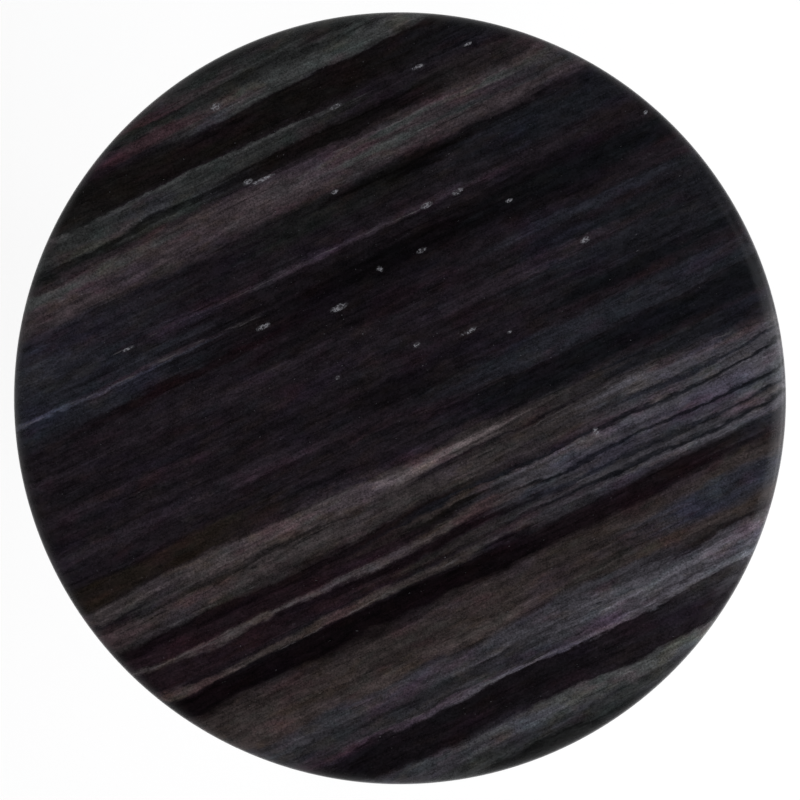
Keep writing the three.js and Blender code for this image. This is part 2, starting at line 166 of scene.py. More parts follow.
def piece(name, mesh, finish, body, slot, *nodes, soft=35):
    """A finished piece: its mesh, finish and body, and the CAD nodes that it stands for."""
    mesh.shade_smooth()
    mesh.set_sharp_from_angle(angle=math.radians(soft))
    mesh.materials.clear()
    mesh.materials.append(finish)
    obj = loose(mesh)
    obj.name = mesh.name = name
    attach(obj, body)
    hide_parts(*nodes)
    return obj


def put(tree, kind, feeds=None, **settings):
    """A new node with its settings, and its inputs fed from sockets or given values."""
    node = tree.nodes.new(kind)
    for key, value in settings.items():
        setattr(node, key, value)
    for key, value in (feeds or {}).items():
        if isinstance(value, bpy.types.NodeSocket):
            tree.links.new(value, node.inputs[key])
        else:
            node.inputs[key].default_value = value
    return node


def calc(tree, operation, *values):
    """A step of arithmetic, repeated along the values where there are more than it takes."""
    if len(values) > 2 and operation != "MULTIPLY_ADD":
        values = (calc(tree, operation, *values[:-1]), values[-1])
    return put(tree, "ShaderNodeMath", dict(enumerate(values)), operation=operation).outputs[0]


def spread(tree, value, low, high, out_low=0.0, out_high=1.0, kind="SMOOTHSTEP"):
    """A value taken from one range to another, and held at its ends."""
    feeds = {0: value, 1: low, 2: high, 3: out_low, 4: out_high}
    return put(tree, "ShaderNodeMapRange", feeds, interpolation_type=kind).outputs[0]


def axes(tree, vector):
    """A vector's X, Y and Z."""
    return put(tree, "ShaderNodeSeparateXYZ", {0: vector}).outputs


def facing_up(tree):
    """How far the surface faces up, from 1 on a level top to -1 on an underside."""
    return axes(tree, put(tree, "ShaderNodeNewGeometry").outputs["Normal"])["Z"]


def grain(tree, vector, size, detail=3.0, roughness=0.55, stretch=(1, 1, 1), shift=0.0):
    """Noise whose lumps are about that many millimetres across, times the stretch."""
    scale = [1 / (size * MM * s) for s in stretch]
    held = put(
        tree, "ShaderNodeMapping", {"Vector": vector, "Scale": scale, "Location": (shift,) * 3}
    )
    feeds = {"Vector": held.outputs[0], "Scale": 1.0, "Detail": detail, "Roughness": roughness}
    return put(tree, "ShaderNodeTexNoise", feeds).outputs[0]


def tinted(tree, share, first, second, mode="MIX"):
    """Two colours mixed by a share of the second."""
    node = put(
        tree, "ShaderNodeMix", {0: share, 6: first, 7: second}, data_type="RGBA", blend_type=mode
    )
    return node.outputs[2]


def bumped(tree, height, depth):
    """A normal from a height, with the relief's full depth in millimetres."""
    feeds = {"Height": height, "Strength": 1.0, "Distance": depth * MM}
    return put(tree, "ShaderNodeBump", feeds).outputs[0]


def finish_of(name, sockets):
    """A new material, its tree, its shader with the constants on its sockets, and the place on
    the piece that its pattern reads."""
    made = bpy.data.materials.new(name)
    made.use_nodes = True
    tree = made.node_tree
    tree.nodes.clear()
    shader = put(tree, "ShaderNodeBsdfPrincipled", sockets)
    put(tree, "ShaderNodeOutputMaterial", {"Surface": shader.outputs[0]})
    place = put(tree, "ShaderNodeTexCoord").outputs["Object"]
    return made, tree, shader, place


def effect(name, inputs, *outputs):
    """A shader node group and its sockets. The inputs are named with their usual values, or with
    None for a place, and it puts out values."""
    tree = bpy.data.node_groups.new(name, "ShaderNodeTree")
    for label, value in inputs.items():
        kind = "NodeSocketVector" if value is None else "NodeSocketFloat"
        socket = tree.interface.new_socket(label, in_out="INPUT", socket_type=kind)
        if value is not None:
            socket.default_value = value
    for label in outputs:
        tree.interface.new_socket(label, in_out="OUTPUT", socket_type="NodeSocketFloat")
    return tree, put(tree, "NodeGroupInput").outputs, put(tree, "NodeGroupOutput").inputs


def effect_on(tree, group, **feeds):
    """What a shader node group puts out for what its named inputs are fed."""
    feeds = {label.replace("_", " "): value for label, value in feeds.items()}
    return put(tree, "ShaderNodeGroup", feeds, node_tree=group).outputs


def give(tree, sockets, **values):
    """Links what a node or group puts out to the named sockets."""
    for label, value in values.items():
        tree.links.new(value, sockets[label.replace("_", " ")])


# Lumps of a sand mould and the paint that bridges them.
cast_skin, given, result = effect(
    "cast skin", {"Place": None, "Coarse": 3.0, "Fine": 0.7}, "Height", "Tone"
)
lumps = []
for label, detail in (("Coarse", 3.0), ("Fine", 4.0)):
    scale = calc(cast_skin, "DIVIDE", 1 / MM, given[label])
    feeds = {"Vector": given["Place"], "Scale": scale, "Detail": detail, "Roughness": 0.6}
    lumps.append(put(cast_skin, "ShaderNodeTexNoise", feeds).outputs[0])
feeds = {"Vector": given["Place"], "Scale": 210.0}
pits = put(cast_skin, "ShaderNodeTexVoronoi", feeds).outputs["Distance"]
pits = spread(cast_skin, spread(cast_skin, pits, 0.06, 0.2), 0.0, 1.0, 0.72, 1.0)
height = calc(
    cast_skin, "MULTIPLY_ADD", lumps[1], 0.55, calc(cast_skin, "MULTIPLY", lumps[0], 0.45)
)
tone = spread(cast_skin, height, 0.36, 0.62)
give(cast_skin, result, Height=calc(cast_skin, "MULTIPLY", height, pits), Tone=tone)

# Dust lies on what faces up, thinner where a cloth has been.
settled_dust, given, result = effect(
    "settled dust", {"Place": None, "Facing": 0.0, "Amount": 0.5}, "Mask"
)
clouds = grain(settled_dust, given["Place"], 55.0, detail=4.0)
specks = grain(settled_dust, given["Place"], 1.6, detail=2.0, shift=7.0)
level = spread(settled_dust, given["Facing"], 0.35, 1.0)
wiped = spread(settled_dust, clouds, 0.25, 0.8, 0.25, 0.9)
cover = calc(settled_dust, "MULTIPLY", wiped, spread(settled_dust, specks, 0.3, 0.75))
give(settled_dust, result, Mask=calc(settled_dust, "MULTIPLY", level, cover, given["Amount"]))


PRIMER, WORN_PRIMER = (0.0062, 0.0061, 0.0063, 1), (0.0165, 0.016, 0.0158, 1)
RUST, GREY_DUST = (0.045, 0.0195, 0.0092, 1), (0.07, 0.066, 0.06, 1)


def cast_iron(name, coarse, fine):
    """Primer on cast iron: near black, greyer on the high lumps, with a sandy skin."""
    made, tree, shader, place = finish_of(name, sockets={"Specular IOR Level": 0.4})
    skin = effect_on(tree, cast_skin, Place=place, Coarse=coarse, Fine=fine)
    dust = effect_on(tree, settled_dust, Place=place, Facing=facing_up(tree), Amount=0.3)[0]
    colour = tinted(tree, skin["Tone"], PRIMER, WORN_PRIMER)
    rust = spread(tree, grain(tree, place, 26.0, detail=5.0, shift=3.0), 0.63, 0.74, 0.0, 0.35)
    colour = tinted(tree, rust, colour, RUST)
    give(
        tree, shader.inputs, Base_Color=tinted(tree, dust, colour, GREY_DUST),
        Roughness=spread(tree, skin["Tone"], 0.0, 1.0, 0.48, 0.72, "LINEAR"),
        Normal=bumped(tree, skin["Height"], 0.5),
    )
    return made


base_low, base_high = box_of("base_ballast")
cover_low, cover_high = box_of("base_cover")
SHEET = 1.5
COVER_GAP = 0.3
SLOPE = math.radians(7)
EDGE_RISE, EDGE_ROUND = 16.0, 7.0
FLARE, NECK = 48.0, 41.0
ROD_HOLE, NUT_RECESS = 6.6, 23.0
SEAT, SPIGOT, SPIGOT_RISE, SPIGOT_CHAMFER = 52.0, 36.2, 14.0, 2.0
FOOT_HOLE, FOOT_HOLE_SPARE = 4.3, 0.6
rim_centre = (cover_high.x - EDGE_ROUND, base_low.z + EDGE_RISE - EDGE_ROUND)
reach = rim_centre[0] * math.sin(SLOPE) + rim_centre[1] * math.cos(SLOPE) + EDGE_ROUND
flare_radius = NECK + FLARE
flare_height = (reach + FLARE - flare_radius * math.sin(SLOPE)) / math.cos(SLOPE)


def section_of_base(inset):
    """The base's edge and flare, so far inside the cover's outer face. The slope joins them."""
    edge = arc(rim_centre, EDGE_ROUND - inset, 0, 90 - math.degrees(SLOPE), 8)
    flare = (flare_radius, flare_height)
    return edge, arc(flare, FLARE + inset, 270 - math.degrees(SLOPE), 180, 20)


edge, flare = section_of_base(SHEET + COVER_GAP)
seat_height = base_high.z - SPIGOT_RISE
recess_top = box_of("clamp_washer")[1].z
ballast = turned(
    [(ROD_HOLE, recess_top), (NUT_RECESS, recess_top), (NUT_RECESS, base_low.z)]
    + [(base_high.x, base_low.z)]
    + edge
    + [flare[0], (SEAT, flare[0][1]), (SEAT, seat_height), (SPIGOT, seat_height)]
    + [(SPIGOT, base_high.z - SPIGOT_CHAMFER), (SPIGOT - SPIGOT_CHAMFER, base_high.z)]
    + [(ROD_HOLE, base_high.z)],
    sides=144,
)
foot_places = [stands_at(f"foot_spindle_{i + 1}") for i in range(4)]
ballast = drilled(
    eased(ballast, 0.5),
    [(x, y) for x, y, _ in foot_places],
    FOOT_HOLE,
    bottom=base_low.z - 4,
    top=foot_places[0][2] + FOOT_HOLE_SPARE,
)
primed_iron = cast_iron("primed cast iron", coarse=4.0, fine=0.8)
piece("ballast", ballast, primed_iron, "table", "cast_black", "base_ballast")

# ---------------------------------------------------------------- levelling feet
# Four screw feet, one at each quarter of the base: a moulded nylon pad with a ringed sole, and
# a zinc plated steel spindle that turns in it, with a hexagon for the spanner and an M8 thread
# up into the ballast. Each screws in and out on its own.


def grown(tree, **values):
    """The plain mesh that a modelling tree makes from named inputs."""
    obj = loose(bpy.data.meshes.new("seed"))
    modifier = obj.modifiers.new(tree.name, "NODES")
    modifier.node_group = tree
    for socket in tree.interface.items_tree:
        label = socket.name.replace(" ", "_")
        if socket.in_out == "INPUT" and label in values:
            modifier[socket.identifier] = values[label]
    return plain(obj)


def modelling_tree(name, inputs):
    """A Geometry Nodes tree, its inputs and the way to end it. The inputs are named with their
    usual values, or with None for an object."""
    tree = bpy.data.node_groups.new(name, "GeometryNodeTree")
    tree.is_modifier = True
    kinds = {float: "NodeSocketFloat", int: "NodeSocketInt", type(None): "NodeSocketObject"}
    tree.interface.new_socket("Geometry", in_out="OUTPUT", socket_type="NodeSocketGeometry")
    for label, value in inputs.items():
        kind = kinds[type(value)]
        socket = tree.interface.new_socket(label, in_out="INPUT", socket_type=kind)
        if value is not None:
            socket.default_value = value
    tree.interface.new_socket("Finish", in_out="INPUT", socket_type="NodeSocketMaterial")
    given = put(tree, "NodeGroupInput").outputs

    def end(geometry):
        whole = put(tree, "GeometryNodeRealizeInstances", {"Geometry": geometry}).outputs[0]
        feeds = {"Geometry": whole, "Material": given["Finish"]}
        coated = put(tree, "GeometryNodeSetMaterial", feeds).outputs[0]
        put(tree, "NodeGroupOutput", {"Geometry": coated})

    return tree, given, end


# A rolled thread: a cylinder whose wall goes in and out along a helix.
thread, given, end = modelling_tree(
    "rolled thread",
    {"Radius": 0.004, "Pitch": 0.00125, "Depth": 0.0007, "Length": 0.02, "Rows": 90, "Sides": 28},
)
feeds = {
    "Vertices": given["Sides"], "Side Segments": given["Rows"], "Radius": given["Radius"],
    "Depth": given["Length"],
}
bar = put(thread, "GeometryNodeMeshCylinder", feeds, fill_type="TRIANGLE_FAN").outputs["Mesh"]
at = axes(thread, put(thread, "GeometryNodeInputPosition").outputs[0])
turns = calc(thread, "DIVIDE", calc(thread, "ARCTAN2", at["Y"], at["X"]), 2 * math.pi)
climb = calc(thread, "SUBTRACT", calc(thread, "DIVIDE", at["Z"], given["Pitch"]), turns)
flank = spread(thread, calc(thread, "PINGPONG", climb, 0.5), 0.06, 0.4)
away = calc(
    thread, "SUBTRACT", calc(thread, "MULTIPLY", given["Length"], 0.5),
    calc(thread, "ABSOLUTE", at["Z"]),
)
lead = calc(
    thread, "MULTIPLY", calc(thread, "SUBTRACT", 1.0, spread(thread, away, 0.0, 0.0008)), 0.8
)
cut = calc(thread, "MULTIPLY", calc(thread, "MAXIMUM", flank, lead), given["Depth"])
squares = [calc(thread, "POWER", at[axis], 2.0) for axis in "XY"]
wide = calc(thread, "SQRT", calc(thread, "ADD", *squares))
kept = calc(
    thread, "DIVIDE", calc(thread, "SUBTRACT", wide, cut), calc(thread, "MAXIMUM", wide, 0.0001)
)
kept = calc(thread, "MAXIMUM", kept, 0.0)
feeds = {
    0: calc(thread, "MULTIPLY", at["X"], kept), 1: calc(thread, "MULTIPLY", at["Y"], kept),
    2: at["Z"],
}
place = put(thread, "ShaderNodeCombineXYZ", feeds)
end(
    put(
        thread, "GeometryNodeSetPosition", {"Geometry": bar, "Position": place.outputs[0]}
    ).outputs[0]
)


def threaded(radius, pitch, bottom, top, finish, sides=28):
    """A length of threaded bar between two heights, in millimetres."""
    rows = round((top - bottom) / pitch * 8)
    length, depth = (top - bottom) * MM, 0.6 * pitch * MM
    sizes = {"Radius": radius * MM, "Pitch": pitch * MM, "Depth": depth, "Length": length}
    mesh = grown(thread, **sizes, Rows=rows, Sides=sides, Finish=finish)
    return moved(mesh, 0, 0, (bottom + top) / 2)


def hexagonal(angle):
    """How far out a hexagon's side lies at an angle, against the middle of its flat."""
    return 1 / math.cos((angle + math.pi / 6) % (math.pi / 3) - math.pi / 6)


def hexagon(flats, bottom, top, bore=0.0):
    """A hexagon with its corners turned off at both faces, with a bore or none."""
    face = flats / 2 * 0.96

    def outline(angle):
        radius = flats / 2 * hexagonal(angle)
        low, high = bottom + (radius - face) * 0.6, top - (radius - face) * 0.6
        return [
            (bore, bottom), (face, bottom), (radius, low), (radius, high), (face, top), (bore, top)
        ]

    return turned(outline, 96)


# Fine random scratches that cross at several angles.
scuffs, given, result = effect("scuffs", {"Place": None, "Amount": 1.0}, "Mask")
lines = []
for turn in (0.3, 1.4, 2.5):
    feeds = {"Vector": given["Place"], "Rotation": (0.4 * turn, turn, 1.7 * turn)}
    turned_place = put(scuffs, "ShaderNodeMapping", feeds).outputs[0]
    line = grain(scuffs, turned_place, 0.25, detail=1.0, stretch=(1, 60, 1), shift=turn)
    broken = grain(scuffs, turned_place, 9.0, detail=2.0, shift=turn)
    line = spread(scuffs, line, 0.66, 0.8)
    lines.append(calc(scuffs, "MULTIPLY", line, spread(scuffs, broken, 0.5, 0.62)))
worst = calc(scuffs, "MAXIMUM", *lines)
give(scuffs, result, Mask=calc(scuffs, "MULTIPLY", worst, given["Amount"]))

# Rings that a lathe or a spinning tool leaves about an upright axis.
tool_rings, given, result = effect("tool rings", {"Place": None, "Spacing": 0.4}, "Height")
feeds = {0: given["Place"], 1: (1, 1, 0)}
flat = put(tool_rings, "ShaderNodeVectorMath", feeds, operation="MULTIPLY").outputs[0]
out = put(tool_rings, "ShaderNodeVectorMath", {0: flat}, operation="LENGTH").outputs["Value"]
up = axes(tool_rings, given["Place"])["Z"]
across = calc(tool_rings, "MULTIPLY", calc(tool_rings, "ADD", out, up), 1 / MM)
feeds = {"W": calc(tool_rings, "DIVIDE", across, given["Spacing"]), "Scale": 1.0, "Detail": 3.0}
rings = put(tool_rings, "ShaderNodeTexNoise", feeds, noise_dimensions="1D").outputs[0]
give(tool_rings, result, Height=rings)


def plated(name, x=0.0, y=0.0):
    """Bright zinc plate on turned steel: bluish, clouded by handling, with fine scratches."""
    made, tree, shader, place = finish_of(name, sockets={"Metallic": 1.0, "IOR": 1.6})
    place = put(
        tree, "ShaderNodeMapping", {"Vector": place, "Location": (-x * MM, -y * MM, 0)}
    ).outputs[0]
    clouds = grain(tree, place, 4.0, detail=5.0)
    marks = effect_on(tree, scuffs, Place=place, Amount=0.9)[0]
    rings = effect_on(tree, tool_rings, Place=place, Spacing=0.18)[0]
    colour = tinted(
        tree, spread(tree, clouds, 0.32, 0.68), (0.42, 0.44, 0.47, 1), (0.66, 0.67, 0.66, 1)
    )
    give(tree, shader.inputs, Base_Color=tinted(tree, marks, colour, (0.78, 0.79, 0.8, 1)))
    rough = spread(tree, clouds, 0.3, 0.7, 0.42, 0.26, "LINEAR")
    give(
        tree, shader.inputs, Roughness=calc(tree, "MULTIPLY_ADD", marks, -0.08, rough),
        Normal=bumped(tree, rings, 0.012),
    )
    return made


nylon, tree, shader, place = finish_of("moulded nylon", sockets={"Specular IOR Level": 0.45})
mottle = grain(tree, place, 7.0, detail=4.0)
fine = grain(tree, place, 0.28, detail=2.0)
rubbed = effect_on(tree, scuffs, Place=place, Amount=1.0)[0]
colour = tinted(
    tree, spread(tree, mottle, 0.35, 0.65), (0.0125, 0.0128, 0.0138, 1), (0.022, 0.022, 0.0225, 1)
)
give(
    tree, shader.inputs, Base_Color=tinted(tree, rubbed, colour, (0.075, 0.074, 0.072, 1)),
    Roughness=calc(
        tree, "MULTIPLY_ADD", rubbed, 0.12, spread(tree, mottle, 0.3, 0.7, 0.44, 0.56, "LINEAR")
    ),
    Normal=bumped(tree, fine, 0.03),
)

PAD, PAD_TOP, PAD_ROUND, PAD_FLOOR, MOUTH, POCKET = 16.0, 6.5, 2.5, 2.2, 7.5, 9.3


def pad_outline(angle):
    """The pad's section, with finger notches round its side and rings under its sole."""
    grip = 0.45 * max(0.0, math.cos(18 * angle)) ** 3
    sole = [(0, 0.5), (2.4, 0.5), (2.9, 0)]
    for ring in (5.6, 8.2, 10.8):
        sole += [(ring - 0.9, 0), (ring - 0.6, 0.5), (ring + 0.1, 0.5), (ring + 0.4, 0)]
    side = arc((PAD - PAD_ROUND, PAD_ROUND), PAD_ROUND, -90, 0, 6) + [(PAD, PAD_TOP - PAD_ROUND)]
    side += arc((PAD - PAD_ROUND, PAD_TOP - PAD_ROUND), PAD_ROUND, 20, 90, 5)
    side = [(r - grip * max(0.0, min(1.0, (r - PAD + 1.6) / 1.6)), z) for r, z in side]
    mouth = [(MOUTH + 0.5, PAD_TOP), (MOUTH, PAD_TOP - 0.5), (MOUTH, PAD_TOP - 1.7)]
    return sole + side + mouth + [(POCKET, PAD_TOP - 1.7), (POCKET, PAD_FLOOR), (0, PAD_FLOOR)]


HEAD, HEAD_THICK, SHANK, SHANK_RELIEF, PITCH = 9.0, 2.0, 4.0, 0.4, 1.25
HEX_FLATS, HEX_LOW, HEX_TOP = 13.0, 7.2, 11.7
for i, (x, y, shank_top) in enumerate(foot_places):
    pad = moved(turned(pad_outline, 108), x, y)
    piece(f"levelling_pad_{i + 1}", pad, nylon, f"foot_{i + 1}", "nylon", f"foot_pad_{i + 1}")
    steel = plated(f"zinc plate {i + 1}", x, y)
    low = box_of(f"foot_spindle_{i + 1}")[0].z
    shank, neck_top = SHANK - SHANK_RELIEF, HEX_LOW + 2
    outline = [(0, low), (HEAD, low), (HEAD, low + HEAD_THICK), (shank, low + HEAD_THICK)]
    head = eased(turned(outline + [(shank, neck_top), (0, neck_top)], 64), 0.3)
    screw = threaded(SHANK, PITCH, HEX_TOP - 0.2, shank_top, steel)
    spindle = moved(joined(head, hexagon(HEX_FLATS, HEX_LOW, HEX_TOP), screw), x, y)
    stands_for = f"foot_spindle_{i + 1}"
    piece(f"foot_screw_{i + 1}", spindle, steel, f"spindle_{i + 1}", "zinc", stands_for, soft=28)

# ---------------------------------------------------------------- column and tie rod
# A drawn steel tube, powder coated satin black, stands on the ballast's seat. A zinc plated rod
# runs up inside it, and a nut on a spring washer and a wide washer pulls base and top together.


def powder_coat(name, dust, spacing=0.0):
    """Satin black powder coat: fine orange peel, slight haze, a few rubbed scratches. A spun
    piece shows its tool's rings through it, at a spacing in millimetres."""
    made, tree, shader, place = finish_of(name, sockets={"Specular IOR Level": 0.5})
    peel = grain(tree, place, 1.5, detail=1.5)
    fine = grain(tree, place, 0.35, detail=1.0, shift=2.0)
    haze = grain(tree, place, 60.0, detail=4.0, shift=5.0)
    dust = effect_on(tree, settled_dust, Place=place, Facing=facing_up(tree), Amount=dust)[0]
    rubbed = effect_on(tree, scuffs, Place=place, Amount=0.55)[0]
    colour = tinted(
        tree, spread(tree, haze, 0.3, 0.7), (0.0066, 0.0066, 0.0069, 1), (0.0086, 0.0085, 0.0086, 1)
    )
    colour = tinted(tree, rubbed, colour, (0.03, 0.03, 0.031, 1))
    give(tree, shader.inputs, Base_Color=tinted(tree, dust, colour, (0.06, 0.057, 0.053, 1)))
    rough = calc(
        tree, "MULTIPLY_ADD", dust, 0.25, spread(tree, haze, 0.3, 0.7, 0.36, 0.46, "LINEAR")
    )
    give(
        tree, shader.inputs,
        Roughness=calc(tree, "MULTIPLY_ADD", spread(tree, fine, 0.4, 0.7), 0.05, rough),
    )
    height = calc(tree, "MULTIPLY_ADD", fine, 0.25, peel)
    if spacing:
        rings = effect_on(tree, tool_rings, Place=place, Spacing=spacing)[0]
        height = calc(tree, "MULTIPLY_ADD", rings, 0.35, height)
    give(tree, shader.inputs, Normal=bumped(tree, height, 0.05))
    return made


low, high = box_of("column_tube")
TUBE_WALL = 1.5
tube = eased(sleeve(high.x - TUBE_WALL, high.x, low.z, high.z, sides=144), 0.3)
coat = powder_coat("powder coated tube", dust=0.0)
piece("column", tube, coat, "table", "powder_black", "column_tube")

low, high = box_of("tie_rod")
rod_steel = plated("zinc plated rod")
ROD, ROD_PITCH, THREADED = 6.0, 1.75, 38.0
rod = sleeve(0, ROD - 0.4, low.z + THREADED, high.z - THREADED, sides=40)
for bottom in (low.z, high.z - THREADED):
    screw = threaded(ROD, ROD_PITCH, bottom, bottom + THREADED, rod_steel, sides=36)
    rod = joined(rod, screw)
piece("tie_rod_bar", rod, rod_steel, "table", "zinc", "tie_rod", soft=28)

low, high = box_of("clamp_washer")
washer = sleeve(ROD + 0.5, high.x, low.z, high.z, sides=96)
piece("wide_washer", eased(washer, 0.5), rod_steel, "table", "zinc", "clamp_washer")


def outward(mesh):
    """The mesh with all its faces pointing outwards."""
    work = bmesh.new()
    work.from_mesh(mesh)
    bmesh.ops.recalc_face_normals(work, faces=work.faces)
    work.to_mesh(mesh)
    work.free()
    return mesh


def split_ring(inner, outer, bottom, top, gap, lean):
    """A ring of square section with a slit cut aslant across it."""
    verts, faces, steps = [], [], 72
    for i in range(steps + 1):
        for radius, height in ((inner, bottom), (outer, bottom), (outer, top), (inner, top)):
            aslant = lean * (height - (bottom + top) / 2) / outer
            angle = gap / 2 + (2 * math.pi - gap) * i / steps
            angle += aslant * math.cos(math.pi * i / steps) ** 2
            verts.append(
                (radius * MM * math.cos(angle), radius * MM * math.sin(angle), height * MM)
            )
    for i in range(steps):
        for k in range(4):
            n = (k + 1) % 4
            faces.append((4 * i + k, 4 * (i + 1) + k, 4 * (i + 1) + n, 4 * i + n))
    faces += [(0, 1, 2, 3), tuple(4 * steps + k for k in (3, 2, 1, 0))]
    mesh = bpy.data.meshes.new("split ring")
    mesh.from_pydata(verts, [], faces)
    return outward(mesh)


low, high = box_of("spring_washer")
coil = split_ring(ROD + 0.3, high.x, low.z, high.z, gap=0.2, lean=0.6)
piece("split_washer", eased(coil, 0.25, over=50), rod_steel, "table", "zinc", "spring_washer")

low, high = box_of("tie_rod_nut")
nut = hexagon(18.0, low.z, high.z, bore=ROD + 0.3)
piece("rod_nut", nut, rod_steel, "table", "zinc", "tie_rod_nut", soft=28)

# ---------------------------------------------------------------- base cover, grommet and trim
# A steel disc spun over a former into one shell, from a rolled edge up a low slope and a flare to
# a beaded neck, powder coated like the column. A rubber grommet fills the neck, and a rubber
# channel is pushed up over the rim, with its butt joint at the back.
outer_edge, outer_flare = section_of_base(0)
inner_edge, inner_flare = section_of_base(SHEET)
BEAD = 1.6
shell = turned(
    [(cover_high.x - SHEET, cover_low.z), (cover_high.x, cover_low.z)]
    + outer_edge
    + outer_flare
    + arc((NECK, cover_high.z - BEAD), BEAD, -90, 90, 10)
    + [(NECK - SHEET, cover_high.z)]
    + inner_flare[::-1]
    + inner_edge[::-1],
    216,
)
coat = powder_coat("powder coated shell", dust=0.3, spacing=1.9)
piece("spun_cover", shell, coat, "table", "powder_black", "base_cover", soft=50)

rubber, tree, shader, place = finish_of("black rubber", sockets={"Specular IOR Level": 0.35})
bloom = spread(tree, grain(tree, place, 22.0, detail=5.0), 0.42, 0.7)
skin = grain(tree, place, 0.5, detail=3.0)
colour = tinted(tree, bloom, (0.0075, 0.0074, 0.0073, 1), (0.021, 0.0205, 0.0195, 1))
at = axes(tree, place)
seam = spread(tree, calc(tree, "ABSOLUTE", at["X"]), 0.0002, 0.0005, 1.0, 0.0)
seam = calc(tree, "MULTIPLY", seam, spread(tree, at["Y"], 0.1, 0.11))
give(
    tree, shader.inputs, Base_Color=tinted(tree, seam, colour, (0.001, 0.001, 0.001, 1)),
    Roughness=spread(tree, bloom, 0.0, 1.0, 0.58, 0.76, "LINEAR"),
    Normal=bumped(tree, calc(tree, "SUBTRACT", skin, seam), 0.09),
)

low, high = box_of("neck_grommet")
BORE, WAIST, LIP = 38.3, 39.2, 1.2
outline = [(BORE, low.z), (WAIST, low.z), (WAIST, high.z - LIP), (high.x, high.z - LIP)]
grommet = turned(outline + [(high.x - LIP, high.z), (BORE, high.z)], 144)
piece("neck_ring", eased(grommet, 0.25), rubber, "table", "rubber", "neck_grommet")

low, high = box_of("edge_trim")
TRIM_WALL, TRIM_LIP, PLAY = 1.5, 4.3, 0.3
groove_in, groove_out = cover_high.x - SHEET - PLAY, cover_high.x + PLAY
inside, under_iron = groove_in - TRIM_WALL, base_low.z - PLAY
channel = [(inside, low.z), (high.x, low.z), (high.x, low.z + TRIM_LIP)]
channel += [(groove_out, low.z + TRIM_LIP), (groove_out, low.z + TRIM_WALL)]
channel += [(groove_in, low.z + TRIM_WALL), (groove_in, under_iron), (inside, under_iron)]
piece(
    "rim_trim", eased(turned(channel, 216), 0.45, steps=3), rubber, "table", "rubber", "edge_trim"
)

# ---------------------------------------------------------------- spider
# The iron casting that carries the top: four channel arms on a hub, cast in sand, so that no edge
# is sharp, and painted with the same primer. The column's upper end sits in its cup.
cast = bpy.data.meshes.new("casting")
work = bmesh.new()
work.from_mesh(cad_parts["top_spider"].data)
bmesh.ops.remove_doubles(work, verts=work.verts, dist=2e-6)
work.to_mesh(cast)
work.free()
cast = loose(cast)
skin = cast.modifiers.new("sand cast", "REMESH")
skin.mode, skin.voxel_size, skin.use_smooth_shade = "VOXEL", 1.45 * MM, True
fillet = cast.modifiers.new("fillets", "SMOOTH")
fillet.factor, fillet.iterations = 0.5, 5
primed_arms = cast_iron("primed spider casting", coarse=2.4, fine=0.6)
piece("cast_spider", plain(cast), primed_arms, "table", "cast_black", "top_spider", soft=70)

# ---------------------------------------------------------------- backing board and its bed
# A disc of birch plywood, stained black, its lower edge chamfered, its plies showing round the
# side. Eight knurled brass inserts are pressed into it, and construction adhesive beds the stone.
board_low, board_high = box_of("backing_board")
CHAMFER, INSERT_HOLE, INSERT_DEPTH, PLIES = 4.0, 5.0, 10.5, 9
insert_places = [stands_at(f"board_insert_{i + 1}")[:2] for i in range(8)]
outline = [(0, board_low.z), (board_high.x - CHAMFER, board_low.z)]
outline += [(board_high.x, board_low.z + CHAMFER), (board_high.x, board_high.z), (0, board_high.z)]
disc = drilled(
    eased(turned(outline, 192), 0.4),
    insert_places,
    INSERT_HOLE,
    bottom=board_low.z - 2,
    top=board_low.z + INSERT_DEPTH,
)

stained_ply, tree, shader, place = finish_of(
    "black stained plywood", sockets={"Specular IOR Level": 0.35}
)
at = axes(tree, place)
PLY = (board_high.z - board_low.z) / PLIES
wander = grain(tree, place, 45.0, detail=2.0)
layer = calc(tree, "DIVIDE", calc(tree, "SUBTRACT", at["Z"], board_low.z * MM), PLY * MM)
layer = calc(tree, "MULTIPLY_ADD", wander, 0.25, layer)
glue = spread(tree, calc(tree, "PINGPONG", layer, 0.5), 0.02, 0.09, 1.0, 0.0)
crossed = spread(tree, calc(tree, "PINGPONG", layer, 1.0), 0.45, 0.55)
face_grain = grain(tree, place, 1.1, detail=4.0, stretch=(28, 1, 1))
end_grain = grain(tree, place, 0.35, detail=3.0, stretch=(1, 1, 0.6))
figure = grain(tree, place, 16.0, detail=3.0, stretch=(7, 1, 1), shift=4.0)
side = spread(tree, calc(tree, "ABSOLUTE", facing_up(tree)), 0.5, 0.95, 1.0, 0.0)
open_face = tinted(
    tree, spread(tree, face_grain, 0.35, 0.68), (0.0052, 0.0048, 0.0045, 1),
    (0.0195, 0.0172, 0.0152, 1),
)
open_face = tinted(tree, spread(tree, figure, 0.4, 0.66), open_face, (0.0265, 0.0225, 0.019, 1))
ply = tinted(tree, crossed, (0.0085, 0.0075, 0.0068, 1), (0.029, 0.0235, 0.0188, 1))
ply = tinted(tree, spread(tree, end_grain, 0.4, 0.7, 0.0, 0.6), ply, (0.005, 0.0045, 0.004, 1))
ply = tinted(tree, glue, ply, (0.0025, 0.0022, 0.002, 1))
give(
    tree, shader.inputs, Base_Color=tinted(tree, side, open_face, ply),
    Roughness=spread(tree, face_grain, 0.3, 0.7, 0.7, 0.55, "LINEAR"),
)
relief = tinted(tree, side, face_grain, end_grain)
give(tree, shader.inputs, Normal=bumped(tree, relief, 0.12))
piece("plywood_disc", disc, stained_ply, "table", "board", "backing_board")

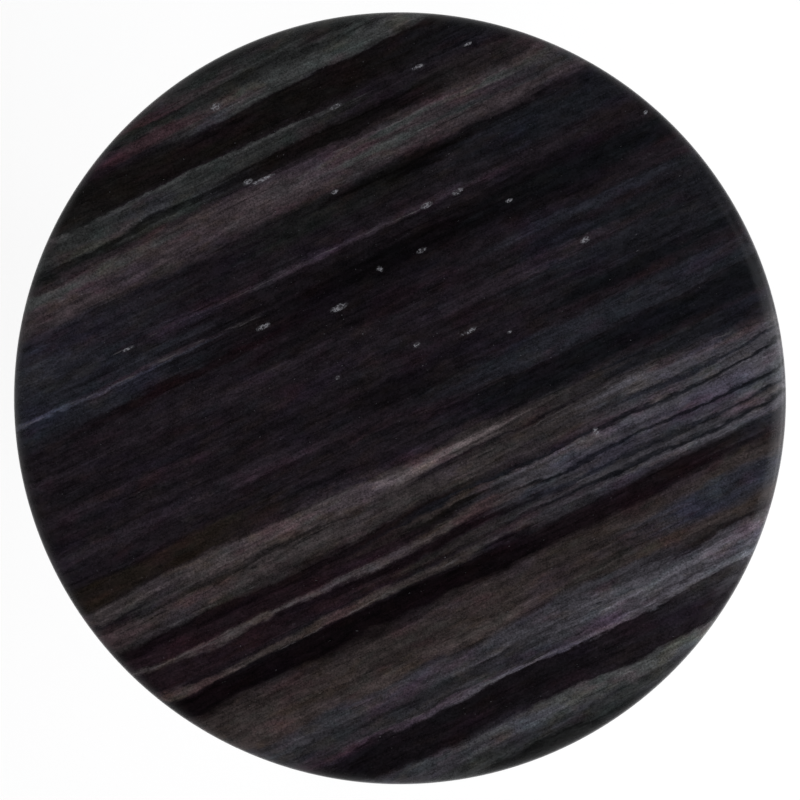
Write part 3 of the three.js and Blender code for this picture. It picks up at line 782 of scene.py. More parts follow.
adhesive, tree, shader, place = finish_of(
    "grey construction adhesive", sockets={"Specular IOR Level": 0.4}
)
ooze = grain(tree, place, 5.0, detail=4.0)
bubbles = put(tree, "ShaderNodeTexVoronoi", {"Vector": place, "Scale": 420.0}).outputs["Distance"]
give(
    tree, shader.inputs,
    Base_Color=tinted(
        tree, spread(tree, ooze, 0.35, 0.65), (0.017, 0.017, 0.0172, 1), (0.032, 0.0315, 0.031, 1)
    ),
    Roughness=spread(tree, ooze, 0.3, 0.7, 0.5, 0.7, "LINEAR"),
    Normal=bumped(
        tree, calc(tree, "MULTIPLY_ADD", spread(tree, bubbles, 0.0, 0.25), 0.3, ooze), 0.4
    ),
)
low, high = box_of("adhesive_bed")


def squeezed(angle):
    """The bed's section, with its edge squeezed out unevenly."""
    edge = high.x - 1.6 * (0.5 + 0.5 * math.sin(7 * angle + 1.3 * math.sin(3 * angle)))
    edge -= 0.7 * (0.5 + 0.5 * math.sin(31 * angle))
    under = [(0, low.z), (edge - 0.4, low.z), (edge, low.z + 0.3)]
    return under + [(edge, high.z - 0.3), (edge - 0.4, high.z), (0, high.z)]


piece("bedding", turned(squeezed, 288), adhesive, "table", "adhesive", "adhesive_bed", soft=60)

# Pieces set on two circles, so many to a circle, each turned by chance about its own axis.
ringed, given, end = modelling_tree(
    "set on two circles",
    {"Piece": None, "Inner Circle": 0.104, "Outer Circle": 0.172, "Count": 4, "Seed": 3},
)
blank = put(ringed, "GeometryNodeObjectInfo", {"Object": given["Piece"]}).outputs["Geometry"]
both = put(ringed, "GeometryNodeJoinGeometry")
for name in ("Inner Circle", "Outer Circle"):
    feeds = {"Vertices": given["Count"], "Radius": given[name]}
    circle = put(ringed, "GeometryNodeMeshCircle", feeds).outputs[0]
    points = put(ringed, "GeometryNodeMeshToPoints", {"Mesh": circle}).outputs[0]
    ringed.links.new(points, both.inputs[0])
feeds = {"Seed": given["Seed"], 3: 2 * math.pi}
chance = put(ringed, "FunctionNodeRandomValue", feeds, data_type="FLOAT")
turn = put(ringed, "ShaderNodeCombineXYZ", {2: chance.outputs[1]}).outputs[0]
feeds = {"Points": both.outputs[0], "Instance": blank, "Rotation": turn}
end(put(ringed, "GeometryNodeInstanceOnPoints", feeds).outputs[0])


def on_both_circles(mesh, finish, seed):
    """That mesh at every screw place, as one mesh."""
    blank = loose(mesh)
    radii = sorted({round(math.hypot(x, y), 2) for x, y in insert_places})
    circles = {"Inner_Circle": radii[0] * MM, "Outer_Circle": radii[-1] * MM, "Count": 4}
    made = grown(ringed, Piece=blank, **circles, Seed=seed, Finish=finish)
    bpy.data.objects.remove(blank)
    return made


brass, tree, shader, place = finish_of("turned brass", sockets={"Metallic": 1.0})
stain = grain(tree, place, 2.5, detail=4.0)
give(
    tree, shader.inputs,
    Base_Color=tinted(
        tree, spread(tree, stain, 0.35, 0.68), (0.62, 0.43, 0.17, 1), (0.36, 0.24, 0.1, 1)
    ),
    Roughness=spread(tree, stain, 0.3, 0.7, 0.28, 0.45, "LINEAR"),
    Normal=bumped(tree, effect_on(tree, tool_rings, Place=place, Spacing=0.2)[0], 0.01),
)


def knurled(angle):
    """The insert's section, its outside cut with straight knurls between two plain bands."""
    cut = 4.7 - 0.28 * abs(2 * ((angle * 24 / (2 * math.pi)) % 1) - 1)
    section = [(3.3, 0), (4.65, 0), (4.65, 1.2), (cut, 1.6), (cut, 4.4), (4.3, 4.7), (4.3, 5.3)]
    section += [(cut, 5.6), (cut, 9.2), (4.3, 10), (3.3, 10)]
    return [(radius, board_low.z + rise) for radius, rise in section]


inserts = on_both_circles(turned(knurled, 96), brass, seed=5)
stands_for = [f"board_insert_{i + 1}" for i in range(8)]
piece("knurled_inserts", inserts, brass, "table", "brass", *stands_for)

# ---------------------------------------------------------------- spider screws
# Eight button head screws with hexagon sockets, heads down, through the arms' webs into the
# inserts. Each was driven home by hand, so the sockets stand at different turns.
screw_low, screw_high = box_of("spider_screw_1")
HEAD_RISE = 3.3
head_top = screw_low.z + HEAD_RISE


def button_head(angle):
    """The screw's section through its hexagon socket."""
    socket, bottom = 2.0 * hexagonal(angle), screw_low.z
    section = [(0, bottom + 2.3), (socket * 0.6, bottom + 2.0), (socket, bottom + 2.0)]
    section += [(socket, bottom + 0.25), (socket + 0.2, bottom)]
    for turn in range(-90, 1, 10):
        out, up = math.cos(math.radians(turn)), math.sin(math.radians(turn))
        section.append((2.8 + 2.5 * out, head_top + HEAD_RISE * up))
    tip = [(2.3, screw_high.z), (0, screw_high.z)]
    return section + [(3.0, head_top), (3.0, screw_high.z - 0.8)] + tip


screw_steel = plated("zinc plated screws")
screws = on_both_circles(turned(button_head, 48), screw_steel, seed=11)
stands_for = [f"spider_screw_{i + 1}" for i in range(8)]
piece("button_screws", screws, screw_steel, "table", "zinc", *stands_for)

# ---------------------------------------------------------------- stone top
# One round slab of banded black marble with a full bullnose, sawn, turned and polished to a satin
# face. Its beds run straight through it, aslant across the table; thin black and white seams
# follow them, and small pale crystals lie in the darker ones.
slab, given, end = modelling_tree(
    "bullnosed slab",
    {
        "Radius": 0.305,
        "Thickness": 0.02,
        "Underside": 0.72,
        "Shoulder": 0.014,
        "Sides": 288,
        "Rows": 56,
    },
)
# The share of the rows where the underside ends and the nose begins, and where the face begins.
NOSE_FROM, NOSE_TO = 0.22, 0.7
feeds = {"Vertices X": calc(slab, "ADD", given["Sides"], 1), "Vertices Y": given["Rows"]}
sheet = put(slab, "GeometryNodeMeshGrid", {"Size X": 1.0, "Size Y": 1.0, **feeds}).outputs["Mesh"]
at = axes(slab, put(slab, "GeometryNodeInputPosition").outputs[0])
row = calc(slab, "ADD", at["Y"], 0.5)
nose = calc(slab, "MULTIPLY", given["Thickness"], 0.5)
over = calc(slab, "DIVIDE", calc(slab, "SUBTRACT", 1.0, row), 1 - NOSE_TO)
inward = calc(slab, "MINIMUM", calc(slab, "DIVIDE", row, NOSE_FROM), over, 1.0)
inward = calc(slab, "SUBTRACT", 1.0, inward)
swing = spread(slab, row, NOSE_FROM, NOSE_TO, -math.pi / 2, math.pi / 2, "LINEAR")
upper = calc(slab, "GREATER_THAN", swing, 0.0)
reach = spread(slab, upper, 0.0, 1.0, nose, given["Shoulder"], "LINEAR")
shrunk = calc(slab, "SUBTRACT", 1.0, calc(slab, "MULTIPLY", inward, inward))
radius = calc(slab, "MULTIPLY", calc(slab, "SUBTRACT", given["Radius"], reach), shrunk)
radius = calc(slab, "MULTIPLY_ADD", calc(slab, "COSINE", swing), reach, radius)
rise = calc(slab, "MULTIPLY", nose, calc(slab, "ADD", calc(slab, "SINE", swing), 1.0))
angle = calc(slab, "MULTIPLY", at["X"], 2 * math.pi)
feeds = {
    i: calc(slab, "MULTIPLY", radius, calc(slab, turn, angle))
    for i, turn in enumerate(("COSINE", "SINE"))
}
feeds[2] = calc(slab, "ADD", given["Underside"], rise)
feeds = {"Geometry": sheet, "Position": put(slab, "ShaderNodeCombineXYZ", feeds).outputs[0]}
bent = put(slab, "GeometryNodeSetPosition", feeds).outputs[0]
end(put(slab, "GeometryNodeMergeByDistance", {"Geometry": bent, "Distance": 2e-6}).outputs[0])

# The beds of the stone, from the far edge to the near one, the later laid over the earlier: tint
# and shade, the middle across the grain and half the thickness, and where it starts and ends along
# the grain, in millimetres. A shade is how light the polished stone looks, out of 255. The beds
# that run out to the right-hand edge also hold painted sheen from the light on that side, so they
# are lighter and bluer there than the stone itself.
TINTS = {
    "ash": (0.98, 1.0, 1.0),
    "slate": (0.96, 0.97, 1.13),
    "plum": (1.07, 0.92, 1.07),
    "rose": (1.08, 0.95, 1.0),
    "pink": (1.17, 0.87, 0.96),
    "taupe": (1.07, 0.97, 0.98),
    "wine": (1.17, 0.84, 0.99),
    "umber": (1.1, 0.965, 0.95),
    "gold": (1.16, 0.98, 0.86),
    "lilac": (1.0, 0.97, 1.05),
}
SHADES = {
    "black": 10, "dark": 15, "dusky": 22, "dim": 29, "middling": 37, "grey": 45, "pale": 52,
    "bright": 60, "white": 70,
}
BEDS_AND_SHEEN = (
    ("ash dim", 288, 20, -320, 320), ("pink middling", 284, 4, -150, -60),
    ("ash grey", 284, 2.5, -40, 40), ("ash grey", 278, 2, 60, 200),
    ("pink middling", 269, 4, -170, -40), ("ash pale", 266, 7, -50, 190),
    ("ash middling", 292, 4, -100, 100), ("ash dim", 240, 16, -320, -140),
    ("umber dark", 245, 13, -175, 260), ("slate dusky", 238, 14, 190, 320),
    ("ash middling", 223, 5, -200, 60), ("ash pale", 229, 1.6, -190, 50),
    ("ash grey", 216, 3.5, -290, -50), ("ash dusky", 208, 4.5, -300, -60),
    ("ash middling", 206, 2, -150, -70), ("umber dark", 209, 9, -30, 200),
    ("umber black", 213, 4, 60, 170), ("rose dim", 207, 11, 180, 320),
    ("rose grey", 186, 15, -320, 320), ("ash pale", 193, 4, -300, -170),
    ("rose pale", 188, 8, -60, 60), ("ash pale", 194, 2.5, 50, 180),
    ("ash pale", 183, 2.5, 60, 170), ("lilac middling", 186, 5, 170, 300),
    ("slate middling", 150, 19, -320, -165), ("plum dusky", 152, 17, -170, -50),
    ("ash dusky", 158, 10, -60, 70), ("umber black", 160, 6, 65, 190),
    ("slate dusky", 150, 14, 180, 320), ("plum middling", 128, 2.5, -140, 110),
    ("slate dim", 112, 20, -320, -165), ("slate pale", 108, 2, -320, -180),
    ("plum middling", 109, 1.6, -180, -70), ("plum dark", 103, 16, -80, 180),
    ("plum black", 102, 7, -60, 130), ("slate dark", 103, 9, 160, 320),
    ("plum dark", 76, 9, -60, 60), ("slate dim", 72, 5, 160, 320),
    ("slate dusky", 40, 24, 150, 320), ("plum dim", 30, 3, -320, -150),
    ("plum dark", 6, 11, -50, 50), ("slate dark", 13, 5, 170, 310), ("plum dim", -2, 6, -320, -70),
    ("plum dim", 62, 4, -260, -40), ("plum dim", 46, 5, 20, 200), ("wine dark", 88, 3, -240, -70),
    ("slate dim", -10, 9, 60, 320), ("gold dusky", -34, 10, -320, -150),
    ("plum dim", -43, 5, -150, 40), ("slate dark", -32, 11, 60, 330),
    ("taupe grey", -52, 6, -320, 60), ("taupe pale", -58, 5, -185, -60),
    ("taupe bright", -54, 5, -100, 90), ("taupe white", -53, 2.4, -60, 60),
    ("taupe middling", -53, 6, 70, 185), ("slate dusky", -54, 7, 180, 330),
    ("taupe middling", -74, 11, -320, 200), ("taupe grey", -72, 5, -320, 60),
    ("taupe dim", -66, 1.3, -300, -60), ("lilac pale", -100, 33, 165, 330),
    ("lilac bright", -112, 22, 215, 330), ("lilac grey", -112, 22, 45, 190),
    ("lilac pale", -101, 6, 60, 200), ("wine dusky", -96, 11, -320, -50),
    ("wine dark", -88, 3.5, -320, -40), ("umber dark", -93, 7, -65, 45),
    ("umber middling", -94, 2, -60, 55), ("umber grey", -107, 4, -70, 60),
    ("slate dim", -80, 1.5, 150, 330), ("slate dusky", -91, 1.6, -20, 310),
    ("slate dusky", -108, 1.6, 90, 330), ("slate dim", -118, 1.5, 40, 290),
    ("slate dusky", -127, 1.8, 50, 330), ("lilac bright", -96, 2.5, 70, 330),
    ("lilac bright", -131.5, 2, 150, 330), ("lilac bright", -70, 2, 190, 330),
    ("slate dim", -139, 3, 215, 330), ("taupe pale", -108, 2.5, -320, -60),
    ("wine dusky", -119, 8, -320, -40), ("wine dark", -116, 4, -120, 60),
    ("taupe dim", -124, 3, -60, 50), ("umber grey", -133, 3, -320, -50),
    ("taupe middling", -132, 3, -60, 60), ("wine black", -148, 11, -320, 60),
    ("wine dark", -149, 12, 40, 200), ("lilac dim", -147, 8, 215, 330),
    ("umber middling", -179, 21, -320, 320), ("slate middling", -178, 10, 170, 330),
    ("umber grey", -192, 4, -320, 60), ("lilac grey", -206, 8, -320, 100),
    ("lilac pale", -209, 3, -50, 320), ("lilac middling", -220, 8, -320, 60),
    ("lilac bright", -219, 9, 75, 320), ("lilac white", -217, 3, 80, 320),
    ("lilac dim", -218, 3, -125, -60), ("lilac white", -231.5, 2, -60, 290),
    ("plum pale", -230, 2, -160, -60), ("plum dark", -248, 13, -320, 90),
    ("plum dusky", -250, 14, 80, 190), ("lilac grey", -241, 7, 190, 330),
    ("lilac grey", -272, 9, -230, -40), ("ash bright", -274, 7, -50, 220),
    ("ash middling", -287, 5, -180, 220), ("ash dusky", -299, 8, -120, 120),
)
GROUND = "plum dusky"
LIGHT_ON_TOP = 1.05
SHEEN_ON_TOP = 0.0011


def stone_colour(looks):
    """The polished stone's colour, from its tint and shade under a soft light, with that light and
    an even sheen taken out; painted sheen that a shade holds stays in the colour.
    """
    tint, shade = looks.split()
    seen = [SHADES[shade] * share / 255 for share in TINTS[tint]]
    light = [v / 12.92 if v < 0.04045 else ((v + 0.055) / 1.055) ** 2.4 for v in seen]
    return [max(v - SHEEN_ON_TOP, 0.0008) / LIGHT_ON_TOP for v in light] + [1.0]


BED_FRAY = 30.0
PLACES = (-270, -180, -90, 0, 90, 180, 270)
EDGE_OF_TOP = 308.0
SAME_COLOUR = 0.0006
STOPS = 30


def blur_of(half):
    """How softly a bed of this half thickness gives way to the next one, in millimetres."""
    return min(0.5 * half, 0.6 + 0.22 * half)


def strata_at(place):
    """What a cut across the grain shows at one place: (across, colour) wherever it changes."""
    here, turns = [], set()
    for looks, at, half, start, end in BEDS_AND_SHEEN:
        strength = min(1.0, (min(place - start, end - place) + BED_FRAY) / BED_FRAY)
        if strength > 0:
            here.append((at, half, strength, stone_colour(looks)))
            faces = (half - blur_of(half), half + blur_of(half))
            turns |= {at + side * face for side in (-1, 1) for face in faces}
    cut = []
    for v in sorted(turns | {-EDGE_OF_TOP, EDGE_OF_TOP}):
        colour = stone_colour(GROUND)
        for at, half, strength, laid in here:
            inside = 0.5 - (abs(v - at) - half) / (2 * blur_of(half))
            share = strength * min(1.0, max(0.0, inside))
            colour = [a + (b - a) * share for a, b in zip(colour, laid)]
        cut.append((v, colour))
    kept = cut[:1]
    for (v, colour), (_, after) in zip(cut[1:], cut[2:]):
        steps = [max(abs(a - b) for a, b in zip(colour, other)) for other in (kept[-1][1], after)]
        if sum(steps) > SAME_COLOUR:
            kept.append((v, colour))
    return kept + cut[-1:]


def beds_at(tree, across, place):
    """The same as a shader, in as many colour ramps as it takes."""
    cut = strata_at(place)
    colour = None
    for first in range(0, len(cut) - 1, STOPS):
        run = cut[first : first + STOPS + 1]
        low, high = run[0][0], run[-1][0]
        node = put(
            tree, "ShaderNodeValToRGB", {"Fac": spread(tree, across, low, high, kind="LINEAR")}
        )
        elements = node.color_ramp.elements
        elements[0].color, elements[1].color = run[0][1], run[-1][1]
        for v, shade in run[1:-1]:
            elements.new((v - low) / (high - low)).color = shade
        here = node.outputs["Color"]
        colour = here if colour is None else tinted(
            tree, calc(tree, "GREATER_THAN", across, low), colour, here
        )
    return colour


# A thin seam along the grain: where it lies across it, and where it starts and ends.
SEAM_FADE = 30.0
seam_line, given, result = effect(
    "seam in the stone",
    {
        "Along": 0.0,
        "Across": 0.0,
        "Broken": 0.0,
        "At": 0.0,
        "Rise": 0.0,
        "Width": 0.8,
        "Start": -300.0,
        "End": 300.0,
    },
    "Mask",
)
middle = calc(seam_line, "MULTIPLY_ADD", given["Along"], given["Rise"], given["At"])
off = calc(seam_line, "ABSOLUTE", calc(seam_line, "SUBTRACT", given["Across"], middle))
near = spread(seam_line, calc(seam_line, "DIVIDE", off, given["Width"]), 0.15, 1.0, 1.0, 0.0)
ends = [
    spread(seam_line, calc(seam_line, "SUBTRACT", given[high], given[low]), 0.0, SEAM_FADE)
    for high, low in (("Along", "Start"), ("End", "Along"))
]
give(seam_line, result, Mask=calc(seam_line, "MULTIPLY", *ends, near, given["Broken"]))

# A pale crystal: a broken oval, longer along the grain.
crystal, given, result = effect(
    "crystal in the stone",
    {
        "Along": 0.0,
        "Across": 0.0,
        "Broken": 0.0,
        "Where Along": 0.0,
        "Where Across": 0.0,
        "Length": 6.0,
        "Height": 2.0,
    },
    "Mask",
)
squares = []
for way, size in (("Along", "Length"), ("Across", "Height")):
    off = calc(crystal, "SUBTRACT", given[way], given[f"Where {way}"])
    off = calc(crystal, "DIVIDE", off, given[size])
    squares.append(calc(crystal, "MULTIPLY", off, off))
far = calc(crystal, "ADD", calc(crystal, "SQRT", calc(crystal, "ADD", *squares)), 0.8)
far = calc(crystal, "MULTIPLY_ADD", given["Broken"], -1.6, far)
curls = calc(crystal, "ABSOLUTE", calc(crystal, "SUBTRACT", given["Broken"], 0.5))
curls = spread(crystal, curls, 0.01, 0.075, 1.0, 0.12)
inside = spread(crystal, far, 0.5, 1.2, 1.0, 0.0)
give(crystal, result, Mask=calc(crystal, "MULTIPLY", inside, curls))

marble, tree, shader, place = finish_of("banded black marble", sockets={"Specular IOR Level": 0.35})
top_low, top_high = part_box("marble_top")
GRAIN_SLANT, DIP = math.radians(26), 0.4
feeds = {"Vector": place, "Rotation": (0, 0, -GRAIN_SLANT)}
turned_place = put(tree, "ShaderNodeMapping", feeds).outputs[0]


def in_stone(size, detail, drawn_out=1.0, shift=0.0, roughness=0.55):
    """Noise in the stone, its lumps so many times longer along the grain than across it."""
    return grain(tree, turned_place, size, detail, roughness, (drawn_out, 1, 1), shift)


def sway_of(size, detail, **how):
    """The same, swinging about nought."""
    return calc(tree, "SUBTRACT", in_stone(size, detail, **how), 0.5)


at = axes(tree, turned_place)
depth = calc(tree, "SUBTRACT", top_high.z, at["Z"])
along = calc(tree, "MULTIPLY", at["X"], 1 / MM)
across = calc(tree, "MULTIPLY", calc(tree, "MULTIPLY_ADD", depth, -DIP, at["Y"]), 1 / MM)
sway = sway_of(40.0, 2.0, drawn_out=2.4)
jitter = sway_of(4.0, 4.0, drawn_out=2.6, roughness=0.62, shift=3.0)
sway = calc(tree, "MULTIPLY", sway, spread(tree, across, -60.0, 20.0, 17.0, 7.0))
swell = sway_of(13.0, 3.0, drawn_out=7.0, shift=7.0)
swayed = calc(tree, "ADD", sway, across)
bed_across = calc(tree, "MULTIPLY_ADD", jitter, 6.5, swayed)
bed_across = calc(tree, "MULTIPLY_ADD", swell, 14.0, bed_across)
frayed = sway_of(5.0, 3.0, drawn_out=30.0, shift=11.0)
bed_along = calc(tree, "MULTIPLY_ADD", frayed, 150.0, along)
colour = beds_at(tree, bed_across, PLACES[0])
for before, place_along in zip(PLACES, PLACES[1:]):
    reached = spread(tree, bed_along, before + 10, place_along - 10, kind="LINEAR")
    colour = tinted(tree, reached, colour, beds_at(tree, bed_across, place_along))

# Fine streaks, mottling and speckle, each lighter and darker than the bed about equally.
streaks = in_stone(1.6, 4.0, 12.0, roughness=0.6, shift=17.0)
feeds = {i: calc(tree, "MULTIPLY", way, MM) for i, way in enumerate((bed_along, bed_across))}
in_beds = put(tree, "ShaderNodeCombineXYZ", feeds).outputs[0]
bands = grain(tree, in_beds, 3.6, detail=4.0, roughness=0.6, stretch=(34, 1, 1), shift=23.0)
mottle = in_stone(7.0, 4.0, 2.2, roughness=0.6, shift=29.0)
speckle = in_stone(1.15, 2.0, roughness=0.6, shift=31.0)
dark_lines = spread(tree, in_stone(1.5, 2.0, 30.0, shift=71.0), 0.6, 0.72, 1.0, 0.6)
pale_lines = spread(tree, in_stone(1.3, 2.0, 24.0, shift=79.0), 0.62, 0.74, 1.0, 1.4)
lightness = spread(tree, streaks, 0.25, 0.75, 0.74, 1.27, "LINEAR")
for noise, low, high in ((bands, 0.5, 1.52), (mottle, 0.55, 1.48), (speckle, 0.36, 1.68)):
    lightness = calc(
        tree, "MULTIPLY", lightness, spread(tree, noise, 0.25, 0.75, low, high, "LINEAR")
    )
lightness = calc(tree, "MULTIPLY", lightness, dark_lines, pale_lines)
shade = put(tree, "ShaderNodeCombineColor", {0: lightness, 1: lightness, 2: lightness}).outputs[0]
colour = tinted(tree, 1.0, colour, shade, "MULTIPLY")

# Patches where the whole stone leans to rose, to green-grey or to violet.
for shift, size, cast_to in (
    (41.0, 20.0, (1.22, 0.88, 0.99, 1)),
    (47.0, 13.0, (0.87, 1.05, 1.01, 1)),
    (53.0, 24.0, (0.98, 0.93, 1.16, 1)),
    (57.0, 11.0, (1.1, 1.02, 0.84, 1)),
):
    patch = spread(tree, in_stone(size, 4.0, 2.6, shift=shift), 0.5, 0.68, 0.0, 0.7)
    colour = tinted(tree, patch, colour, tinted(tree, 1.0, colour, cast_to, "MULTIPLY"))

# Black seams, then white ones: across, rise along the grain, width, start and end.
gaps = spread(tree, in_stone(2.4, 4.0, 6.0, roughness=0.65, shift=59.0), 0.44, 0.66, 0.0, 1.0)
fine_across = calc(tree, "MULTIPLY_ADD", jitter, 5.5, swayed)
BLACK_SEAMS = (
    (228.3, 0.0, 1.1, 45, 230), (202.0, -0.012, 1.0, -140, 90), (22.0, 0.0, 0.9, -290, -60),
    (19.0, -0.008, 0.9, 130, 300), (3.0, -0.012, 0.8, -20, 250), (-21.4, 0.0, 1.2, -300, 300),
    (-52.6, 0.0, 0.9, -290, -190), (-66.0, 0.018, 1.0, -300, -60), (-62.0, 0.0, 0.9, 70, 260),
    (-91.0, 0.0, 0.8, -20, 280), (-108.0, 0.004, 1.0, 100, 290), (-118.5, 0.0, 0.8, 30, 260),
    (-125.0, 0.004, 0.8, 40, 260), (-213.0, 0.0, 0.7, -60, 130), (-225.5, 0.006, 1.6, -80, 110),
    (272.8, 0.0, 0.9, -150, 20), (280.6, 0.0, 0.9, 60, 140), (-216.5, 0.0, 1.4, -118, -92),
)
WHITE_SEAMS = (
    (229.6, 0.0, 0.8, -210, 50), (128.0, -0.006, 0.7, -210, 120), (108.5, 0.0, 1.4, -300, -60),
    (-50.5, -0.02, 1.7, -110, 90), (-81.0, 0.0, 0.8, -290, -150), (-107.5, 0.0, 1.4, -290, -90),
    (-134.0, 0.012, 0.9, -200, 60), (-229.5, -0.012, 0.8, -180, 230), (-232.5, 0.0, 0.9, -60, 220),
    (-214.5, -0.01, 1.0, 40, 190), (-268.0, 0.0, 0.8, -110, -20), (-131.5, 0.0, 0.8, 60, 280),
    (196.5, 0.0, 0.8, 20, 150), (172.0, 0.0, 0.7, 10, 140), (-65.0, 0.0, 0.7, 60, 270),
)
JET, CALCITE = (0.0018, 0.0015, 0.002, 1), (0.085, 0.079, 0.082, 1)
for seams, strength, stuff in ((BLACK_SEAMS, 0.8, JET), (WHITE_SEAMS, 0.45, CALCITE)):
    masks = 0.0
    for v, rise, width, start, finish in seams:
        laid = {"At": v, "Rise": rise, "Width": width, "Start": start, "End": finish}
        seam = effect_on(tree, seam_line, Along=along, Across=fine_across, Broken=gaps, **laid)
        masks = calc(tree, "MAXIMUM", masks, seam[0])
    colour = tinted(tree, calc(tree, "MULTIPLY", masks, strength), colour, stuff)

CRYSTALS = (
    (55, 228, 5, 1.6), (126, 227.5, 6, 1.8), (170, 226.5, 4, 1.2), (-22, 201.5, 11, 1.6),
    (-33, 205, 4, 2.2), (85, 127, 5, 2.2), (112, 126, 5, 2.2), (-175, 128.5, 5, 1.2),
    (-72, 97.5, 6, 2.0), (30, 98, 2.5, 2.5), (66, 97, 4, 1.8), (145, 102, 3, 1.5),
    (-12, 85, 7, 2.6), (185, 48, 4, 2.4), (30, 32, 3, 1.8), (72, 23.5, 7, 1.8), (-37, 36, 2, 1.4),
    (100, 9, 2, 1.0), (127, -91, 2.5, 3.5), (25, 168, 3, 1.6), (-30, 269, 4, 3), (272, 117, 2, 1.6),
)
broken = in_stone(2.6, 3.0, 1.3, roughness=0.6, shift=61.0)
masks = 0.0
for u, v, length, height in CRYSTALS:
    laid = {"Where_Along": u, "Where_Across": v, "Length": length, "Height": height}
    grown_here = effect_on(tree, crystal, Along=along, Across=across, Broken=broken, **laid)
    masks = calc(tree, "MAXIMUM", masks, grown_here[0])
glints = spread(tree, in_stone(1.2, 1.0, 1.8, shift=67.0), 0.76, 0.82, 0.0, 0.35)
masks = calc(tree, "MAXIMUM", masks, glints)
colour = tinted(tree, calc(tree, "MULTIPLY", masks, 0.8), colour, (0.17, 0.17, 0.185, 1))
give(tree, shader.inputs, Base_Color=colour)
rough = spread(tree, mottle, 0.3, 0.7, 0.25, 0.31, "LINEAR")
rough = calc(tree, "MULTIPLY_ADD", calc(tree, "SUBTRACT", streaks, 0.5), 0.06, rough)
give(tree, shader.inputs, Roughness=calc(tree, "MULTIPLY_ADD", masks, 0.1, rough))
relief = calc(tree, "MULTIPLY_ADD", streaks, 0.5, calc(tree, "MULTIPLY", speckle, 0.6))
give(tree, shader.inputs, Normal=bumped(tree, relief, 0.012))

SHOULDER, SPARE = 15 * MM, 0.001 * MM
sizes = {"Radius": top_high.x, "Thickness": top_high.z - top_low.z - SPARE}
top = grown(
    slab, **sizes, Underside=top_low.z, Shoulder=SHOULDER, Sides=288, Rows=56, Finish=marble
)
piece("stone_top", outward(top), marble, "table", "stone", "marble_top", soft=80)

# ---------------------------------------------------------------- floor, light and camera
# A plain pale studio floor that lets the underside be seen from below, soft boxes low round the
# table and none above it, and a camera straight over the middle of the top.
floor_mesh = bpy.data.meshes.new("floor")
HALF_FLOOR, FLOOR_DROP = 9.0, 0.0002
corners = [(-1, -1), (1, -1), (1, 1), (-1, 1)]
corners = [(x * HALF_FLOOR, y * HALF_FLOOR, -FLOOR_DROP) for x, y in corners]
floor_mesh.from_pydata(corners, [], [(0, 1, 2, 3)])
sockets = {"Roughness": 0.9, "Specular IOR Level": 0.1}
paper, tree, shader, place = finish_of("white paper floor", sockets)
tooth = grain(tree, place, 900.0, detail=2.0)
give(
    tree, shader.inputs,
    Base_Color=tinted(tree, tooth, (0.79, 0.79, 0.79, 1), (0.83, 0.83, 0.83, 1)),
)
lit = put(tree, "ShaderNodeEmission", {"Color": (1, 1, 1, 1), "Strength": 1.0})
ray = put(tree, "ShaderNodeLightPath").outputs
away = put(tree, "ShaderNodeVectorMath", {0: place}, operation="LENGTH").outputs["Value"]
share = calc(tree, "MULTIPLY", ray["Is Camera Ray"], spread(tree, away, 1.0, 5.0, 0.8, 1.0))
feeds = {0: share, 1: shader.outputs[0], 2: lit.outputs[0]}
even = put(tree, "ShaderNodeMixShader", feeds).outputs[0]
behind = put(tree, "ShaderNodeNewGeometry").outputs["Backfacing"]
share = calc(tree, "MAXIMUM", ray["Is Shadow Ray"], behind)
feeds = {0: share, 1: even, 2: put(tree, "ShaderNodeBsdfTransparent").outputs[0]}
both = put(tree, "ShaderNodeMixShader", feeds).outputs[0]
surface = next(n for n in tree.nodes if n.type == "OUTPUT_MATERIAL").inputs["Surface"]
tree.links.new(both, surface)
floor_mesh.materials.append(paper)
floor = loose(floor_mesh)
floor.name = "studio_floor"


def soft_box(name, place, aim, width, height, power, tone, glare=False):
    """A soft box at a place, in metres, turned to face a point. The camera doesn't see it. One
    without glare has a polariser on it, and doesn't show in a polished face."""
    lamp = bpy.data.lights.new(name, "AREA")
    lamp.shape, lamp.size, lamp.size_y = "RECTANGLE", width, height
    lamp.energy, lamp.color = power, tone
    obj = bpy.data.objects.new(name, lamp)
    bpy.context.scene.collection.objects.link(obj)
    obj.location = place
    obj.rotation_euler = (Vector(aim) - Vector(place)).to_track_quat("-Z", "Y").to_euler()
    obj.visible_camera = False
    obj.visible_glossy = glare


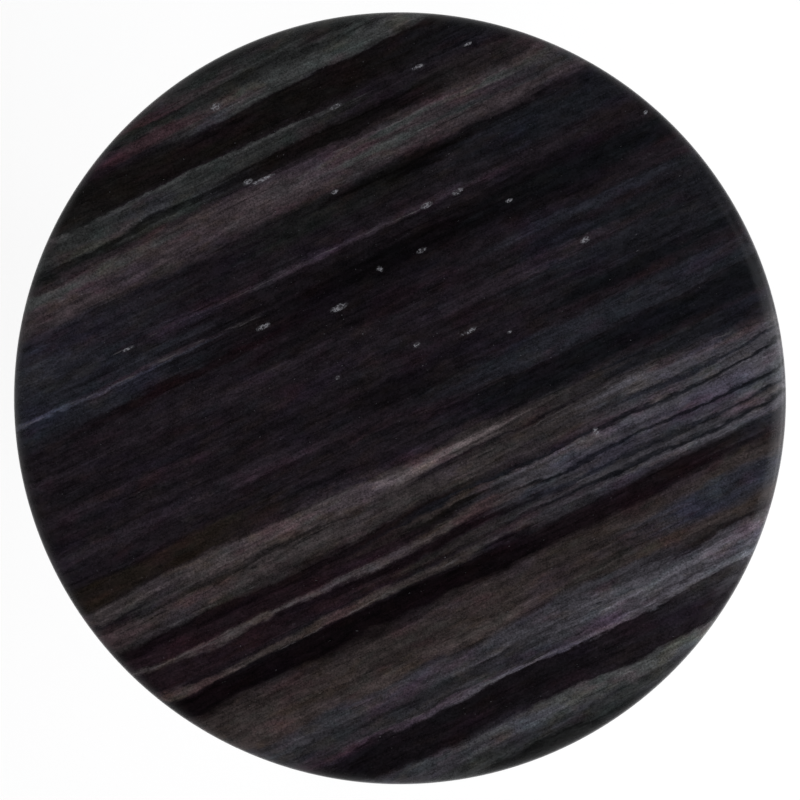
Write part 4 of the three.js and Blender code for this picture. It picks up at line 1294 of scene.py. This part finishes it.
COOL, COOLER, WARM, WHITE = (0.98, 0.98, 1.0), (0.94, 0.95, 1.0), (1.0, 0.99, 0.98), (1, 1, 1)
UNDER_TOP, TABLE_TOP = (0, 0, 0.6), (0, 0, 0.72)
soft_box("key box", (3.0, -0.6, 3.0), UNDER_TOP, 2.0, 2.0, 146, COOL)
soft_box("fill box left", (-3.0, -0.5, 2.8), UNDER_TOP, 2.0, 1.6, 46, WARM)
soft_box("fill box front", (0.2, -3.2, 2.4), (0, 0, 0.5), 2.2, 1.4, 52, WHITE)
soft_box("fill box back", (-0.2, 3.2, 2.5), (0, 0, 0.5), 2.2, 1.4, 50, WHITE)
soft_box("box under the floor", (0.9, -1.1, -1.3), (0, 0, 0.2), 1.8, 1.4, 26, WHITE)
soft_box("window box low", (2.6, 0, 0.85), TABLE_TOP, 1.5, 0.9, 11, (0.97, 0.97, 1.0), glare=True)
soft_box("window box high", (2.5, 0, 1.9), TABLE_TOP, 1.5, 1.2, 8, COOLER, glare=True)
soft_box("window box top", (1.5, 0, 2.3), (0.3, 0, 0.72), 1.4, 0.9, 3, COOLER, glare=True)

room = bpy.data.worlds.new("studio")
bpy.context.scene.world = room
room.use_nodes = True
tree = room.node_tree
tree.nodes.clear()
up = axes(tree, put(tree, "ShaderNodeTexCoord").outputs["Generated"])["Z"]
low_down = calc(tree, "POWER", calc(tree, "SUBTRACT", 1.0, calc(tree, "MAXIMUM", up, 0.0)), 3.0)
dome = tinted(tree, low_down, (0.012, 0.012, 0.013, 1), (0.75, 0.75, 0.77, 1))
seen = put(tree, "ShaderNodeLightPath").outputs["Is Camera Ray"]
feeds = {"Color": tinted(tree, seen, dome, (1, 1, 1, 1)), "Strength": 1.0}
shade = put(tree, "ShaderNodeBackground", feeds)
put(tree, "ShaderNodeOutputWorld", {"Surface": shade.outputs[0]})

bpy.context.scene.view_settings.view_transform = "Standard"
lens = bpy.data.cameras.new("camera")
lens.lens, lens.sensor_width = 85, 36
camera = bpy.data.objects.new("camera", lens)
bpy.context.scene.collection.objects.link(camera)
CAMERA_SHIFT, CAMERA_RISE = -0.0014, 1.483
camera.location = (0, CAMERA_SHIFT, top_high.z + CAMERA_RISE)
bpy.context.scene.camera = camera
